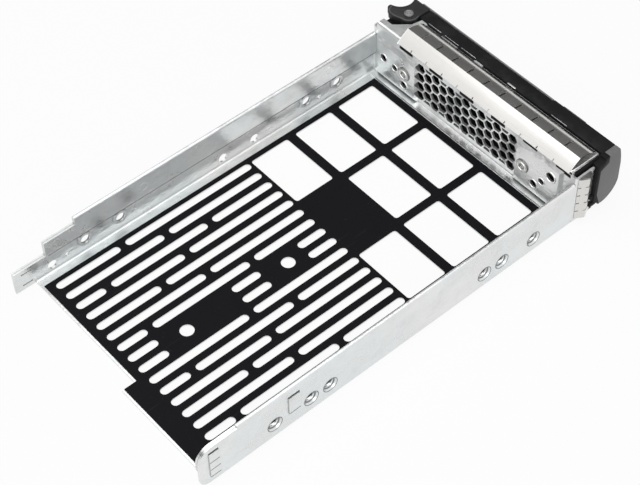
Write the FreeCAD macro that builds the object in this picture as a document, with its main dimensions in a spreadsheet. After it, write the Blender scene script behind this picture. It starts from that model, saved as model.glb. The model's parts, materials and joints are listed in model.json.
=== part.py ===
"""Hot swap drive caddy for a 3.5 inch drive.

Frame: +Z up, -Y towards the front bezel, +X to the right seen from the front.
Origin: on the underside of the tray, midway between the side walls, under the rear
face of the perforated front wall.  Millimetres throughout.
"""
import FreeCAD, Part
import math
import os
import re
import Sketcher
from FreeCAD import Placement, Rotation, Vector

os.makedirs("parts", exist_ok=True)
doc = FreeCAD.newDocument("drive_caddy")

# ---------------------------------------------------------------- driving dimensions
DIMENSIONS = [
    ("sheet_t", 0.8, "steel sheet of the tray and the front frame"),
    ("bend_r", 1.0, "inner radius of the tray's floor bends"),
    ("drive_width", 101.6, "width of the drive between the walls"),
    ("side_gap", 0.1, "play between the drive and each hem"),
    ("film_edge", 3.0, "bare steel beside the film"),
    ("frame_in", 0.4, "front wall inside the hem's line"),
    ("bezel_past", 0.3, "bezel's left end past the hem's line"),
    ("pin_in", 4.9, "lever pin inside the hem's line"),
    ("hem_gap", 0.1, "space left between the two layers of a hem"),
    ("wall_top", 20.6, "height of the side walls"),
    ("hem_low", 10.7, "height of the hem's lower edge"),
    ("wall_front", -1.0, "front end of the side walls"),
    ("floor_front", -12.0, "front edge of the floor"),
    ("floor_rear", 156.8, "rear edge of the floor, right part"),
    ("floor_tail", 5.2, "extra length of the floor's left part"),
    ("floor_step_x", -5.5, "where the rear edge steps"),
    ("wall_past", 9.2, "tail of the left wall past the floor"),
    ("step_one_back", 27.8, "first step down of the right wall, from the left tail's end"),
    ("step_two_back", 14.5, "second step down of the right wall"),
    ("tip_right_back", 1.0, "right wall's end short of the left one's"),
    ("step_one_z", 17.3, "height of the right wall after it"),
    ("step_two_z", 11.0, "height of the right wall after it"),
    ("film_t", 0.3, "insulating film"),
    ("film_front", 2.2, "front edge of the film"),
    ("film_margin", 0.8, "bare steel behind the film"),
    ("film_lip", 0.15, "how far the film reaches over each hole in the steel"),
    ("window_margin", 2.15, "solid film outside the windows"),
    ("window_bar", 3.4, "bar between two windows across the tray"),
    ("slot_margin", 3.425, "middle of the outermost slots inside the film's edge"),
    ("rung_margin", 2.33, "solid steel behind the last rung's middle"),
    ("window_x", 2.9, "middle of the block of windows"),
    ("window_y", 5.3, "front edge of the first row of windows"),
    ("window_long", 17.5, "window, along the tray"),
    ("window_pitch_y", 21.25, "spacing of the windows along the tray"),
    ("window_r", 1.0, "corner radius of the windows"),
    ("slot_wide", 3.27, "width of a slot"),
    ("rung_first", 65.07, "middle of the first rung across the slots"),
    ("rung_wide", 2.74, "width of a rung"),
    ("peg_hole_r", 2.6, "round holes on the tray's middle line"),
    ("peg_hole_one", 85.8, "front round hole"),
    ("peg_hole_two", 130.65, "rear round hole"),
    ("drive_hole_z", 6.35, "height of a drive's side holes above its base"),
    ("drive_hole_span", 101.6, "distance between a drive's outer side holes"),
    ("drive_hole_y", 18.45, "front hole of the forward drive position"),
    ("drive_shift", 15.3, "distance between the two drive positions"),
    ("screw_r", 1.9, "clearance hole for a drive screw"),
    ("sink_r", 3.0, "countersink at the outer face"),
    ("dimple_r", 2.9, "inner pad of a dimple"),
    ("frame_set", -1.2, "rear face of the front wall's main plane"),
    ("frame_top", 26.0, "top of the front frame"),
    ("frame_bend", 0.4, "inner radius of the front frame's bends"),
    ("flange_front", -14.6, "front edge of the top flange"),
    ("seam_deep", 0.7, "notches in the top flange's front edge"),
    ("seam_a", 37.0, "right notch, right end"),
    ("seam_b", 29.0, "right notch, left end"),
    ("seam_c", 20.7, "middle notch, right end"),
    ("seam_d", 11.7, "middle notch, left end"),
    ("seam_e", 7.5, "left notch, right end"),
    ("foot_long", 1.9, "how far the foot reaches back onto the floor"),
    ("side_top", 23.4, "top of the side flanges"),
    ("side_left_front", -10.2, "front edge of the left side flange"),
    ("side_right_front", -3.6, "front edge of the right side flange"),
    ("hex_pitch", 4.6, "vertical spacing of the vent holes"),
    ("hex_flat", 3.9, "vent hole across its flats"),
    ("hex_x", 2.3, "middle of the vent"),
    ("hex_z", 5.75, "lowest whole vent hole of the tall columns"),
    ("strip_left_in", 0.15, "left end of the top spring strip inside the front wall"),
    ("finger_pitch", 8.05, "spacing of the top spring fingers"),
    ("finger_gap", 0.5, "slit between two fingers"),
    ("finger_t", 0.2, "spring strip sheet"),
    ("finger_rise", 3.5, "height of the finger crest above its flange"),
    ("clip_slot_wide", 7.4, "slots in the front wall under the fingers"),
    ("clip_slot_high", 1.0, "height of those slots"),
    ("side_finger_pitch", 4.0, "spacing of the side spring fingers"),
    ("side_finger_low", 2.6, "lower end of the side spring strip"),
    ("side_finger_rise", 2.2, "how far the side fingers stand out"),
    ("side_crest_y", -5.4, "crest of the side fingers"),
    ("bezel_back", -14.8, "rear face of the bezel's front bar"),
    ("bezel_low", 2.6, "bottom of the bezel"),
    ("bezel_over", 0.2, "bezel's top above the front frame"),
    ("pipe_in", 9.2, "first light pipe from the bezel's left end"),
    ("button_in", 20.8, "middle of the release button from the bezel's left end"),
    ("lever_end_in", 29.6, "free end of the lever from the bezel's left end"),
    ("bezel_front", -21.6, "front face of the bezel near its top"),
    ("belly", 1.3, "how far the front face swells past that"),
    ("bar_t", 1.7, "top and bottom bars of the bezel"),
    ("cap_t", 2.8, "thickness of the end cap"),
    ("lever_back", -18.2, "rear face of the lever's bar"),
    ("lever_gap", 0.3, "gap round the lever"),
    ("plate_t", 2.8, "thickness of the lever's two claw plates"),
    ("pin_y", -13.2, "lever pin"),
    ("pin_r", 1.3, "radius of the lever pin"),
    ("pin_fit", 0.05, "running clearance on the pin"),
    ("hub_r", 4.1, "hub of the lever round the pin"),
    ("button_wide", 11.0, "width of the release button"),
    ("button_high", 19.0, "height of the release button"),
    ("button_gap", 0.3, "gap round the release button"),
    ("pipe_r", 1.3, "radius of the light pipes"),
    ("pipe_pitch", 4.4, "spacing of the light pipes"),
    ("pipe_z", 20.5, "height of the light pipes"),
    ("rivet_r", 1.4, "shank of the rivets"),
    ("rivet_right_x", 33.9, "right rivet"),
    ("rivet_left_x", -28.4, "left rivet"),
    ("rivet_z", 12.0, "height of the rivets"),
    ("tip_long", 16.0, "rounded tail of the left wall"),
    ("tip_drop", 1.0, "how far the tail starts below the wall's top"),
    ("tip_high_r", 6.0, "upper corner radius of the tail"),
    ("tip_low_r", 4.0, "lower corner radius of the tail"),
    ("tip_low_z", 1.5, "underside of the tail"),
    ("spare_hole_one", 42.1, "spare hole in the left wall"),
    ("spare_hole_two", 111.95, "spare hole in the left wall"),
    ("low_hole_z", 3.9, "height of the lower row of holes in the right wall"),
    ("low_hole_one", 58.4, "lower row, front hole"),
    ("low_hole_two", 73.3, "lower row, middle hole"),
    ("low_hole_three", 149.3, "lower row, rear hole"),
    ("pilot_r", 0.95, "small pilot holes in the right wall"),
    ("pilot_z", 4.5, "height of the pilot holes"),
    ("pilot_one", 26.8, "front pilot hole"),
    ("pilot_two", 143.0, "rear pilot hole"),
    ("lance_out", 0.5, "how far a lanced bridge stands out of the left wall"),
    ("lance_slit", 0.6, "slit beside a bridge"),
    ("lance_one_y", 124.8, "front end of the first bridge"),
    ("lance_one_long", 4.8, "length of the first bridge"),
    ("lance_one_low", 8.2, "lower edge of the first bridge"),
    ("lance_one_high", 16.2, "upper edge of the first bridge"),
    ("lance_two_long", 4.0, "length of the second bridge"),
    ("lance_two_back", 8.1, "second bridge from the tail's end"),
    ("lance_two_low", 4.6, "lower edge of the second bridge"),
    ("lance_two_high", 16.6, "upper edge of the second bridge"),
    ("tip_slit_low", 2.2, "lower slit at the right wall's tip"),
    ("tip_slit_high", 7.6, "upper slit at the right wall's tip"),
    ("side_low", 1.1, "lower edge of the side flanges"),
    ("side_root", 1.0, "where a side flange turns off the front wall"),
    ("pad_low", 2.8, "lower edge of the raised pads"),
    ("pad_left_in", 5.0, "left pad inside the front wall's end"),
    ("pad_right_in", 2.0, "right pad inside the front wall's end"),
    ("pad_left_inner", -24.8, "left pad, edge beside the vent"),
    ("pad_left_high", 21.4, "left pad, upper edge"),
    ("pad_right_inner", 28.4, "right pad, edge beside the vent"),
    ("pad_right_high", 18.9, "right pad, upper edge"),
    ("pad_slope", 45.0, "slope of the pads' edges, degrees"),
    ("claw_cut_rear", -4.6, "rear end of the cut for the lever's claw"),
    ("claw_cut_mid", -10.2, "where the cut turns forward"),
    ("claw_cut_in", 4.9, "depth of the cut inside the pin"),
    ("claw_cut_lean", 1.0, "how much deeper it is at the front edge"),
    ("tap_r", 1.6, "plain holes in the pads"),
    ("tap_small_r", 1.3, "small plain holes in the pads"),
    ("tap_large_r", 1.9, "large plain hole in the left pad"),
    ("vent_trim", 0.3, "how far the vent's flat ends stand in"),
    ("vent_flare", 0.7, "flare of the half holes at the vent's flat ends"),
    ("strip_foot", 1.0, "flat foot of a spring strip"),
    ("strip_in", 0.8, "top strip behind the flange's front edge"),
    ("lip_low", 24.9, "lower edge of the strip's lip behind the front wall"),
    ("crest_y", -6.8, "crest of the fingers"),
    ("front_arc_r", 9.0, "radius of the fingers ahead of the crest"),
    ("slit_past", 0.8, "slits past the crest"),
    ("notch_wide", 0.6, "notches in the strips' rear edge"),
    ("notch_long", 0.9, "length of the notches"),
    ("nose_low_set", 5.8, "how far the bezel's lower edge curves back"),
    ("nose_low_r", 8.5, "radius of that curve"),
    ("nose_low_z", 7.6, "height of the curve"),
    ("nose_flat", 7.6, "flat band above it"),
    ("nose_r", 40.0, "radius of the swelling front face"),
    ("nose_edge", 0.8, "rounding of the bezel's top front edge"),
    ("nose_edge_in", 0.7, "top edge set back by the rounding"),
    ("nose_edge_out", 0.1, "front face ahead of the top bar's edge"),
    ("bar_front", -20.6, "front of the two bars behind the lever's fascia"),
    ("bar_right_in", 3.5, "right end of the bars, inside the pin"),
    ("bay_gap", 0.8, "gap between the bars' right end and the claw"),
    ("air_wide", 9.8, "width of an air opening behind the lever"),
    ("air_in", 7.8, "right edge of the first air opening, inside the pin"),
    ("air_pitch", 11.4, "spacing of the air openings"),
    ("air_edge", 1.6, "air openings inside the bars"),
    ("air_r", 1.5, "corner radius of the air openings"),
    ("block_in", 0.3, "left block behind the end cap"),
    ("block_past", 3.0, "left block past the button"),
    ("block_gap", 0.3, "play between the block and the top flange"),
    ("join", 0.5, "overlap of joined forms in one moulding"),
    ("well_deep", 9.0, "depth of the button's well"),
    ("shelf_gap", 0.3, "bezel's floor ahead of the front wall"),
    ("spring_well_r", 2.5, "radius of the well for the button's spring"),
    ("spring_well_deep", 12.7, "depth of that well behind the front edge"),
    ("hook_half", 2.0, "half height of the button's hook"),
    ("hook_back", 2.6, "hook in front of the lever's rear face"),
    ("hook_deep", 0.6, "hook behind the lever's rear face"),
    ("hook_room", 3.2, "room for the hook's travel behind the lever"),
    ("rivet_deep", 8.5, "depth of the rivet holes"),
    ("ear_root", 33.0, "inner edge of the ear"),
    ("ear_wall", 0.6, "wall of the ear round the pin, past the lever's hub"),
    ("ear_gap", 0.25, "gap between the ear and each claw plate"),
    ("ear_out", 0.4, "ear inside the front frame's side flange"),
    ("ear_long", 7.3, "length of the ear's outer pad behind the pin"),
    ("ear_step", 1.0, "step behind that pad"),
    ("coil_well_r", 3.2, "well for the lever's spring"),
    ("coil_well_deep", 5.4, "depth of that well"),
    ("cap_lip", 1.8, "lip of the end cap over the top flange"),
    ("cap_lip_in", 0.9, "lip past the bezel's rear face"),
    ("cap_low", 3.4, "lower rear corner of the end cap"),
    ("cap_mid", 1.6, "chamfer below it"),
    ("cap_gap", 0.3, "end cap ahead of the side flange"),
    ("cap_in_one", 2.2, "rear edge at the chamfer"),
    ("cap_in_two", 3.2, "rear edge at the bottom"),
    ("skin_right", 0.6, "right end of the fascia past the pin"),
    ("claw_out", 4.6, "right end of the lever's front past the pin"),
    ("arm_front", -20.9, "front of the lever's arm, where the fascia sits"),
    ("claw_hook_r", 5.5, "hollow of the claw"),
    ("claw_tip_x", 8.4, "tip of the claw past the pin"),
    ("claw_tip_y", 1.4, "tip of the claw behind the pin"),
    ("claw_tip_r", 1.6, "rounding of the tip"),
    ("claw_heel_x", 7.4, "heel of the claw past the pin"),
    ("claw_heel_y", 3.8, "heel of the claw behind the pin"),
    ("claw_rear_y", 5.2, "rear edge of the claw behind the pin"),
    ("claw_rear_out", 5.6, "outer end of that edge"),
    ("claw_rear_in", 3.4, "inner end of that edge"),
    ("claw_neck", 2.2, "where the claw leaves the hub, ahead of the pin"),
    ("louvre_wide", 3.2, "width of the slots"),
    ("louvre_in", 10.0, "first slot through the lever, inside the pin"),
    ("louvre_high", 13.0, "height of the slots"),
    ("louvre_pitch", 5.2, "spacing of the slots"),
    ("pin_proud", 0.2, "pin past each claw plate"),
    ("press", 0.02, "clearance of pressed and bonded pins"),
    ("button_proud", 0.6, "button past the front face"),
    ("button_deep", 5.5, "button behind the front edge"),
    ("button_wall", 1.4, "wall of the hollow button"),
    ("button_face", 1.0, "start of the hollow behind the front edge"),
    ("peg_r", 1.0, "peg inside the button that centres its spring"),
    ("peg_long", 4.0, "end of that peg"),
    ("pipe_front", 1.2, "front end of the light pipes ahead of the front edge"),
    ("pipe_rear", 2.5, "rear end of the light pipes ahead of the front wall"),
    ("rivet_long", 8.0, "length of a rivet's shank"),
    ("rivet_play", 0.03, "clearance of the shank"),
    ("rivet_head_r", 2.66, "radius of a rivet's head"),
    ("rivet_head_t", 0.5, "thickness of the head"),
    ("rivet_dish_r", 1.12, "hollow in the head"),
    ("rivet_floor", 0.1, "bottom of the hollow"),
    ("coil_r", 2.3, "mean radius of the lever's spring"),
    ("coil_wire", 0.35, "wire radius of the lever's spring"),
    ("coil_pitch", 1.3, "pitch of the lever's spring"),
    ("coil_long", 3.9, "length of the lever's spring"),
    ("coil_seat", 0.4, "first turn above the well's floor"),
    ("spring_r", 1.7, "mean radius of the button's spring"),
    ("spring_wire", 0.25, "wire radius of the button's spring"),
    ("spring_pitch", 3.2, "pitch of the button's spring"),
    ("spring_long", 10.6, "length of the button's spring"),
    ("spring_seat", 1.4, "first turn behind the front edge"),
]
NAMES = [entry[0] for entry in DIMENSIONS]

# Sizes that follow from the driving ones.
FOLLOWING = {
    "film_half": "(drive_width / 2 + side_gap - film_edge)",
    "frame_half": "(drive_width / 2 + side_gap - frame_in)",
    "pin_x": "(drive_width / 2 + side_gap - pin_in)",
    "bezel_left": "-(drive_width / 2 + side_gap + bezel_past)",
    "pipe_x": "(bezel_left + pipe_in)",
    "button_x": "(bezel_left + button_in)",
    "lever_end": "(bezel_left + lever_end_in)",
    "louvre_x": "(pin_x - louvre_in)",
    "air_right": "(pin_x - air_in)",
    "pad_left_outer": "-(frame_half - pad_left_in)",
    "pad_right_outer": "(frame_half - pad_right_in)",
    "finger_x": "(11 * finger_pitch + strip_left_in - frame_half)",
    "bezel_top": "(frame_top + bezel_over)",
    "window_pitch_x": "((film_half - window_margin + window_bar / 2 - window_x) / 1.5)",
    "window_wide": "(window_pitch_x - window_bar)",
    "slot_pitch": "((film_half - slot_margin) / 7.5)",
    "rung_pitch": "((floor_rear - rung_margin - rung_first) / 6)",
    "wall_rear": "(floor_rear + wall_past)",
    "step_one_y": "(wall_rear - step_one_back)",
    "step_two_y": "(wall_rear - step_two_back)",
    "tip_right_y": "(wall_rear - tip_right_back)",
    "lance_two_y": "(wall_rear - lance_two_back)",
}
sheet = doc.addObject("Spreadsheet::Sheet", "dims")
for line, (name, number, note) in enumerate(DIMENSIONS, 1):
    sheet.set(f"A{line}", name)
    sheet.set(f"B{line}", str(number))
    sheet.setAlias(f"B{line}", name)
    sheet.set(f"C{line}", note)
doc.recompute()

# Lengths that several pieces share, as formulas on the sheet's names.
HEM_IN = "(drive_width / 2 + side_gap)"
LAYER_IN = f"({HEM_IN} + sheet_t + hem_gap)"
OUTER = f"({LAYER_IN} + sheet_t)"
HEM_R = "(sheet_t + hem_gap / 2)"
FLOOR_R = "(bend_r + sheet_t)"
FILM_TOP = "(sheet_t + film_t)"
DRIVE_Z = f"({FILM_TOP} + drive_hole_z)"
FRAME_FACE = "(frame_set - sheet_t)"
FLANGE_LOW = "(frame_top - sheet_t)"
BELLY_Y = "(bezel_front - belly)"
WORD = re.compile(r"\b(" + "|".join(sorted(NAMES, key=len, reverse=True)) + r")\b")
FOLLOWER = re.compile(r"\b(" + "|".join(sorted(FOLLOWING, key=len, reverse=True)) + r")\b")


def formula(text):
    """Turn a formula on named sizes into a FreeCAD expression on the sheet."""
    text = str(text)
    while FOLLOWER.search(text):
        text = FOLLOWER.sub(lambda match: FOLLOWING[match.group(1)], text)
    return WORD.sub(r"dims.\1", text)


def mm(text):
    """The present value of a formula."""
    return float(sheet.evalExpression(formula(text)))


# ---------------------------------------------------------------- sketches and features
def arc_centre(start, end, radius, turn):
    """Centre of the arc from start to end; turn is +1 anticlockwise, -1 clockwise."""
    chord = end - start
    rise = math.sqrt(max(radius ** 2 - (chord.Length / 2) ** 2, 0.0))
    normal = Vector(-chord.y, chord.x, 0).normalize()
    return (start + end) * 0.5 + normal * rise * turn


def corner(x, y, radius=None, turn=1):
    """A point of an outline; a radius makes the edge after it an arc."""
    return (x, y, radius, turn)


def draw(sketch, loop):
    """Draw a closed outline whose points and radii are all bound to the sheet."""
    points = [Vector(mm(x), mm(y), 0) for x, y, _, _ in loop]
    count = len(loop)
    first = sketch.GeometryCount
    shapes = []
    rules = []
    bound = []
    ends = []
    for index, (_, _, radius, turn) in enumerate(loop):
        start, end = points[index], points[(index + 1) % count]
        number = first + index
        if radius is None:
            shapes.append(Part.LineSegment(start, end))
            ends.append((1, 2))
            continue
        size = mm(radius)
        centre = arc_centre(start, end, size, turn)
        low, high = (start, end) if turn > 0 else (end, start)
        circle = Part.Circle(centre, Vector(0, 0, 1), size)
        angle_low = math.atan2(low.y - centre.y, low.x - centre.x)
        angle_high = math.atan2(high.y - centre.y, high.x - centre.x)
        if angle_high < angle_low:
            angle_high += 2 * math.pi
        shapes.append(Part.ArcOfCircle(circle, angle_low, angle_high))
        ends.append((1, 2) if turn > 0 else (2, 1))
        next_x, next_y, _, _ = loop[(index + 1) % count]
        if abs((end - start).Length - 2 * size) < 1e-6:
            this_x, this_y, _, _ = loop[index]
            if abs(end.y - start.y) < abs(end.x - start.x):
                rules.append(Sketcher.Constraint("DistanceY", -1, 1, number, 3, centre.y))
                bound.append(f"(({this_y}) + ({next_y})) / 2")
            else:
                rules.append(Sketcher.Constraint("DistanceX", -1, 1, number, 3, centre.x))
                bound.append(f"(({this_x}) + ({next_x})) / 2")
        else:
            rules.append(Sketcher.Constraint("Radius", number, size))
            bound.append(radius)
    sketch.addGeometry(shapes, False)
    for index, (x, y, _, _) in enumerate(loop):
        number = first + index
        start_end = ends[index][0]
        before = index - 1 if index else count - 1
        rules.append(Sketcher.Constraint("Coincident", first + before, ends[before][1], number, start_end))
        bound.append(None)
        rules.append(Sketcher.Constraint("DistanceX", -1, 1, number, start_end, points[index].x))
        bound.append(x)
        rules.append(Sketcher.Constraint("DistanceY", -1, 1, number, start_end, points[index].y))
        bound.append(y)
    start = sketch.ConstraintCount
    sketch.addConstraint(rules)
    for index, text in enumerate(bound):
        if text is not None:
            sketch.setExpression(f"Constraints[{start + index}]", formula(text))


def draw_circle(sketch, x, y, radius):
    """Draw a circle bound to the sheet."""
    number = sketch.GeometryCount
    centre = Vector(mm(x), mm(y), 0)
    sketch.addGeometry(Part.Circle(centre, Vector(0, 0, 1), mm(radius)), False)
    start = sketch.ConstraintCount
    sketch.addConstraint([
        Sketcher.Constraint("DistanceX", -1, 1, number, 3, centre.x),
        Sketcher.Constraint("DistanceY", -1, 1, number, 3, centre.y),
        Sketcher.Constraint("Radius", number, mm(radius)),
    ])
    for index, text in enumerate((x, y, radius)):
        sketch.setExpression(f"Constraints[{start + index}]", formula(text))


def box_loop(x_low, x_high, y_low, y_high):
    return [corner(x_low, y_low), corner(x_high, y_low), corner(x_high, y_high), corner(x_low, y_high)]


def fan(x, y, radius, start, sweep_angle, steps):
    """Points on an arc, joined by short straight edges to keep the meshes of perforated sheets light."""
    points = []
    for step in range(steps + 1):
        angle = math.radians(start + sweep_angle * step / steps)
        points.append(corner(f"{x} + {radius} * ({math.cos(angle):.6f})", f"{y} + {radius} * ({math.sin(angle):.6f})"))
    return points


def round_box(x_low, x_high, y_low, y_high, radius):
    """Outline of a rectangle with rounded corners."""
    right, left = f"{x_high} - {radius}", f"{x_low} + {radius}"
    top, bottom = f"{y_high} - {radius}", f"{y_low} + {radius}"
    return (fan(right, bottom, radius, -90, 90, 2) + fan(right, top, radius, 0, 90, 2)
            + fan(left, top, radius, 90, 90, 2) + fan(left, bottom, radius, 180, 90, 2))


def slot_loop(x, y_low, y_high, wide):
    """Outline of a slot with round ends that runs along the sketch's second axis."""
    half = f"(({wide}) / 2)"
    return fan(x, f"{y_high} - {half}", half, 0, 180, 6) + fan(x, f"{y_low} + {half}", half, 180, 180, 6)


def hex_loop(x, y, flat):
    """Outline of a hexagon with flat top and bottom."""
    reach = f"({flat}) / {math.sqrt(3)}"
    return [
        corner(f"{x} - {reach} / 2", f"{y} - ({flat}) / 2"),
        corner(f"{x} + {reach} / 2", f"{y} - ({flat}) / 2"),
        corner(f"{x} + {reach}", y),
        corner(f"{x} + {reach} / 2", f"{y} + ({flat}) / 2"),
        corner(f"{x} - {reach} / 2", f"{y} + ({flat}) / 2"),
        corner(f"{x} - {reach}", y),
    ]


def new_body(name):
    body = doc.addObject("PartDesign::Body", name)
    body.Label = name
    return body


def origin_part(body, role):
    return next(item for item in body.Origin.OriginFeatures if item.Role == role)


def sweep(body, kind, plane, low, high, loops=(), circles=(), taper=None):
    """Pad or pocket outlines between two places along the plane's axis.

    plane is XY, XZ or YZ; low and high are formulas along the axis left over.
    """
    number = len(body.Group)
    sketch = body.newObject("Sketcher::SketchObject", f"{body.Name}_sketch_{number}")
    sketch.AttachmentSupport = [(origin_part(body, plane + "_Plane"), "")]
    sketch.MapMode = "FlatFace"
    if plane == "XZ":
        place = f"-({high})" if kind == "Pad" else f"-({low})"
    else:
        place = low if kind == "Pad" else high
    sketch.AttachmentOffset = Placement(Vector(0, 0, mm(place)), Rotation())
    sketch.setExpression("AttachmentOffset.Base.z", formula(place))
    for loop in loops:
        draw(sketch, loop)
    for x, y, radius in circles:
        draw_circle(sketch, x, y, radius)
    feature = body.newObject(f"PartDesign::{kind}", f"{body.Name}_{kind.lower()}_{number}")
    feature.Profile = sketch
    feature.Length = mm(f"({high}) - ({low})")
    feature.setExpression("Length", formula(f"({high}) - ({low})"))
    if taper is not None:
        feature.setExpression("TaperAngle", formula(taper))
    feature.Refine = False
    return feature


def repeat(body, feature, axis, step, count, back=False):
    """Repeat a feature along an origin axis."""
    pattern = body.newObject("PartDesign::LinearPattern", f"{feature.Name}_row")
    pattern.Originals = [feature]
    pattern.Direction = (origin_part(body, axis + "_Axis"), [""])
    pattern.Reversed = back
    pattern.Mode = "Extent"
    pattern.Occurrences = count
    pattern.Length = mm(step) * (count - 1)
    pattern.setExpression("Length", formula(f"({step}) * {count - 1}"))
    body.Tip = pattern
    return pattern


# ---------------------------------------------------------------- holes shared by tray and film
SLOT_COLUMNS = [
    ((1, 5), [(0, 4), (4, 6)], 2, 4),
    ((13,), [(0, 4), (4, 6)], 1, 1),
    ((2, 4, 6), [(0, 3), (3, 6)], 3, 2),
    ((10, 12, 14, 16), [(0, 3), (3, 6)], 4, 2),
    ((3, 7, 11, 15), [(0, 2), (2, 5), (5, 6)], 4, 4),
    ((8, 9), [(0, 1), (2, 3), (5, 6)], 2, 1),
]


def window_loop(column, row, grow):
    """Outline of one window of the block."""
    middle = f"(window_x + {column} * window_pitch_x)"
    front = f"(window_y + {row} * window_pitch_y)"
    return round_box(f"({middle} - window_wide / 2 - {grow})", f"({middle} + window_wide / 2 + {grow})",
                     f"({front} - {grow})", f"({front} + window_long + {grow})", "window_r")


def cut_floor_holes(body, low, high, grow):
    """Cut windows, slots and round holes; grow widens them on every side."""
    # Two full rows of three windows, then one row without its middle window.
    pocket = sweep(body, "Pocket", "XY", low, high, [window_loop(1, row, grow) for row in (0, 1)])
    repeat(body, pocket, "X", "window_pitch_x", 3, back=True)
    pocket = sweep(body, "Pocket", "XY", low, high, [window_loop(1, 2, grow)])
    repeat(body, pocket, "X", "2 * window_pitch_x", 2, back=True)
    for columns, spans, count, step in SLOT_COLUMNS:
        x = f"({8.5 - columns[0]} * slot_pitch)"
        loops = []
        for first, last in spans:
            start = f"(rung_first + {first} * rung_pitch + rung_wide / 2 - {grow})"
            end = f"(rung_first + {last} * rung_pitch - rung_wide / 2 + {grow})"
            loops.append(slot_loop(x, start, end, f"slot_wide + 2 * {grow}"))
        pocket = sweep(body, "Pocket", "XY", low, high, loops)
        if count > 1:
            repeat(body, pocket, "X", f"{step} * slot_pitch", count, back=True)
    pegs = [("0", place, f"peg_hole_r + {grow}") for place in ("peg_hole_one", "peg_hole_two")]
    sweep(body, "Pocket", "XY", low, high, circles=pegs)


# ---------------------------------------------------------------- tray
def tray_section():
    """Section of the tray: floor, bends, walls and hems folded inwards and down."""
    right = [
        corner(f"{OUTER} - {FLOOR_R}", "0", FLOOR_R),
        corner(OUTER, FLOOR_R),
        corner(OUTER, f"wall_top - {HEM_R}", HEM_R),
        corner(HEM_IN, f"wall_top - {HEM_R}"),
        corner(HEM_IN, "hem_low"),
        corner(f"{HEM_IN} + sheet_t", "hem_low"),
        corner(f"{HEM_IN} + sheet_t", f"wall_top - {HEM_R}"),
        corner(LAYER_IN, f"wall_top - {HEM_R}"),
        corner(LAYER_IN, FLOOR_R, "bend_r", -1),
        corner(f"{LAYER_IN} - bend_r", "sheet_t"),
    ]
    left = []
    for index in range(len(right) - 1, -1, -1):
        x, y, _, _ = right[index]
        radius, turn = (right[index - 1][2], right[index - 1][3]) if index else (None, 1)
        left.append(corner(f"-({x})", y, radius, turn))
    return right + left


def make_tray():
    body = new_body("tray")
    sweep(body, "Pad", "XZ", "floor_front", "wall_rear", [tray_section()])
    make_drive_holes(body)
    make_wall_lances(body)
    past = f"({OUTER} + lance_out + 1)"
    over = "wall_top + 1"
    middle = f"({HEM_IN} - 1)"
    sweep(body, "Pocket", "YZ", f"-{past}", past,
          [box_loop("floor_front - 1", "wall_front", "sheet_t", over)])
    right_steps = [
        corner("step_one_y", over), corner("step_one_y", "step_one_z"), corner("step_two_y", "step_one_z"),
        corner("step_two_y", "step_two_z"), corner("tip_right_y", "step_two_z"), corner("tip_right_y", "-1"),
        corner("wall_rear + 1", "-1"), corner("wall_rear + 1", over),
    ]
    sweep(body, "Pocket", "YZ", middle, past, [right_steps])
    left_tip = [
        corner("wall_rear - tip_long", over), corner("wall_rear - tip_long", "wall_top - tip_drop"),
        corner("wall_rear - tip_high_r", "wall_top - tip_drop", "tip_high_r", -1),
        corner("wall_rear", "wall_top - tip_drop - tip_high_r"),
        corner("wall_rear", "tip_low_z + tip_low_r", "tip_low_r", -1),
        corner("wall_rear - tip_low_r", "tip_low_z"), corner("wall_rear - tip_low_r", "-1"),
        corner("wall_rear + 1", "-1"), corner("wall_rear + 1", over),
    ]
    sweep(body, "Pocket", "YZ", f"-{past}", f"-{middle}", [left_tip])
    sweep(body, "Pocket", "XY", "-1", "hem_low - 1", [
        box_loop("floor_step_x", LAYER_IN, "floor_rear", "wall_rear + 1")])
    sweep(body, "Pocket", "XY", "-1", "hem_low - 1", [
        box_loop(f"-{LAYER_IN}", "floor_step_x + 1", "(floor_rear + floor_tail)", "wall_rear + 1")])
    cut_floor_holes(body, "-1", "sheet_t + 1", "film_lip")
    return body


def drive_hole_places(side):
    """Drive holes of both drive positions, and two spare ones in the left wall."""
    places = ["drive_hole_y", "drive_hole_y + drive_shift",
              "drive_hole_y + drive_hole_span", "drive_hole_y + drive_shift + drive_hole_span"]
    return places if side > 0 else places + ["spare_hole_one", "spare_hole_two"]


def add_sink(body, side, place):
    """Countersink at the outer face of one wall."""
    cone = body.newObject("PartDesign::SubtractiveCone", f"sink_{len(body.Group)}")
    cone.AttachmentSupport = [(origin_part(body, "YZ_Plane"), "")]
    cone.MapMode = "FlatFace"
    deep = f"({OUTER} - {HEM_IN} - sheet_t / 2)"
    inner, outer = ("Radius1", "Radius2") if side > 0 else ("Radius2", "Radius1")
    base = f"{OUTER} - {deep}" if side > 0 else f"-{OUTER}"
    cone.setExpression("Height", formula(deep))
    cone.setExpression(inner, formula("screw_r"))
    cone.setExpression(outer, formula("sink_r"))
    cone.setExpression("AttachmentOffset.Base.x", formula(place))
    cone.setExpression("AttachmentOffset.Base.y", formula(DRIVE_Z))
    cone.setExpression("AttachmentOffset.Base.z", formula(base))


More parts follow.
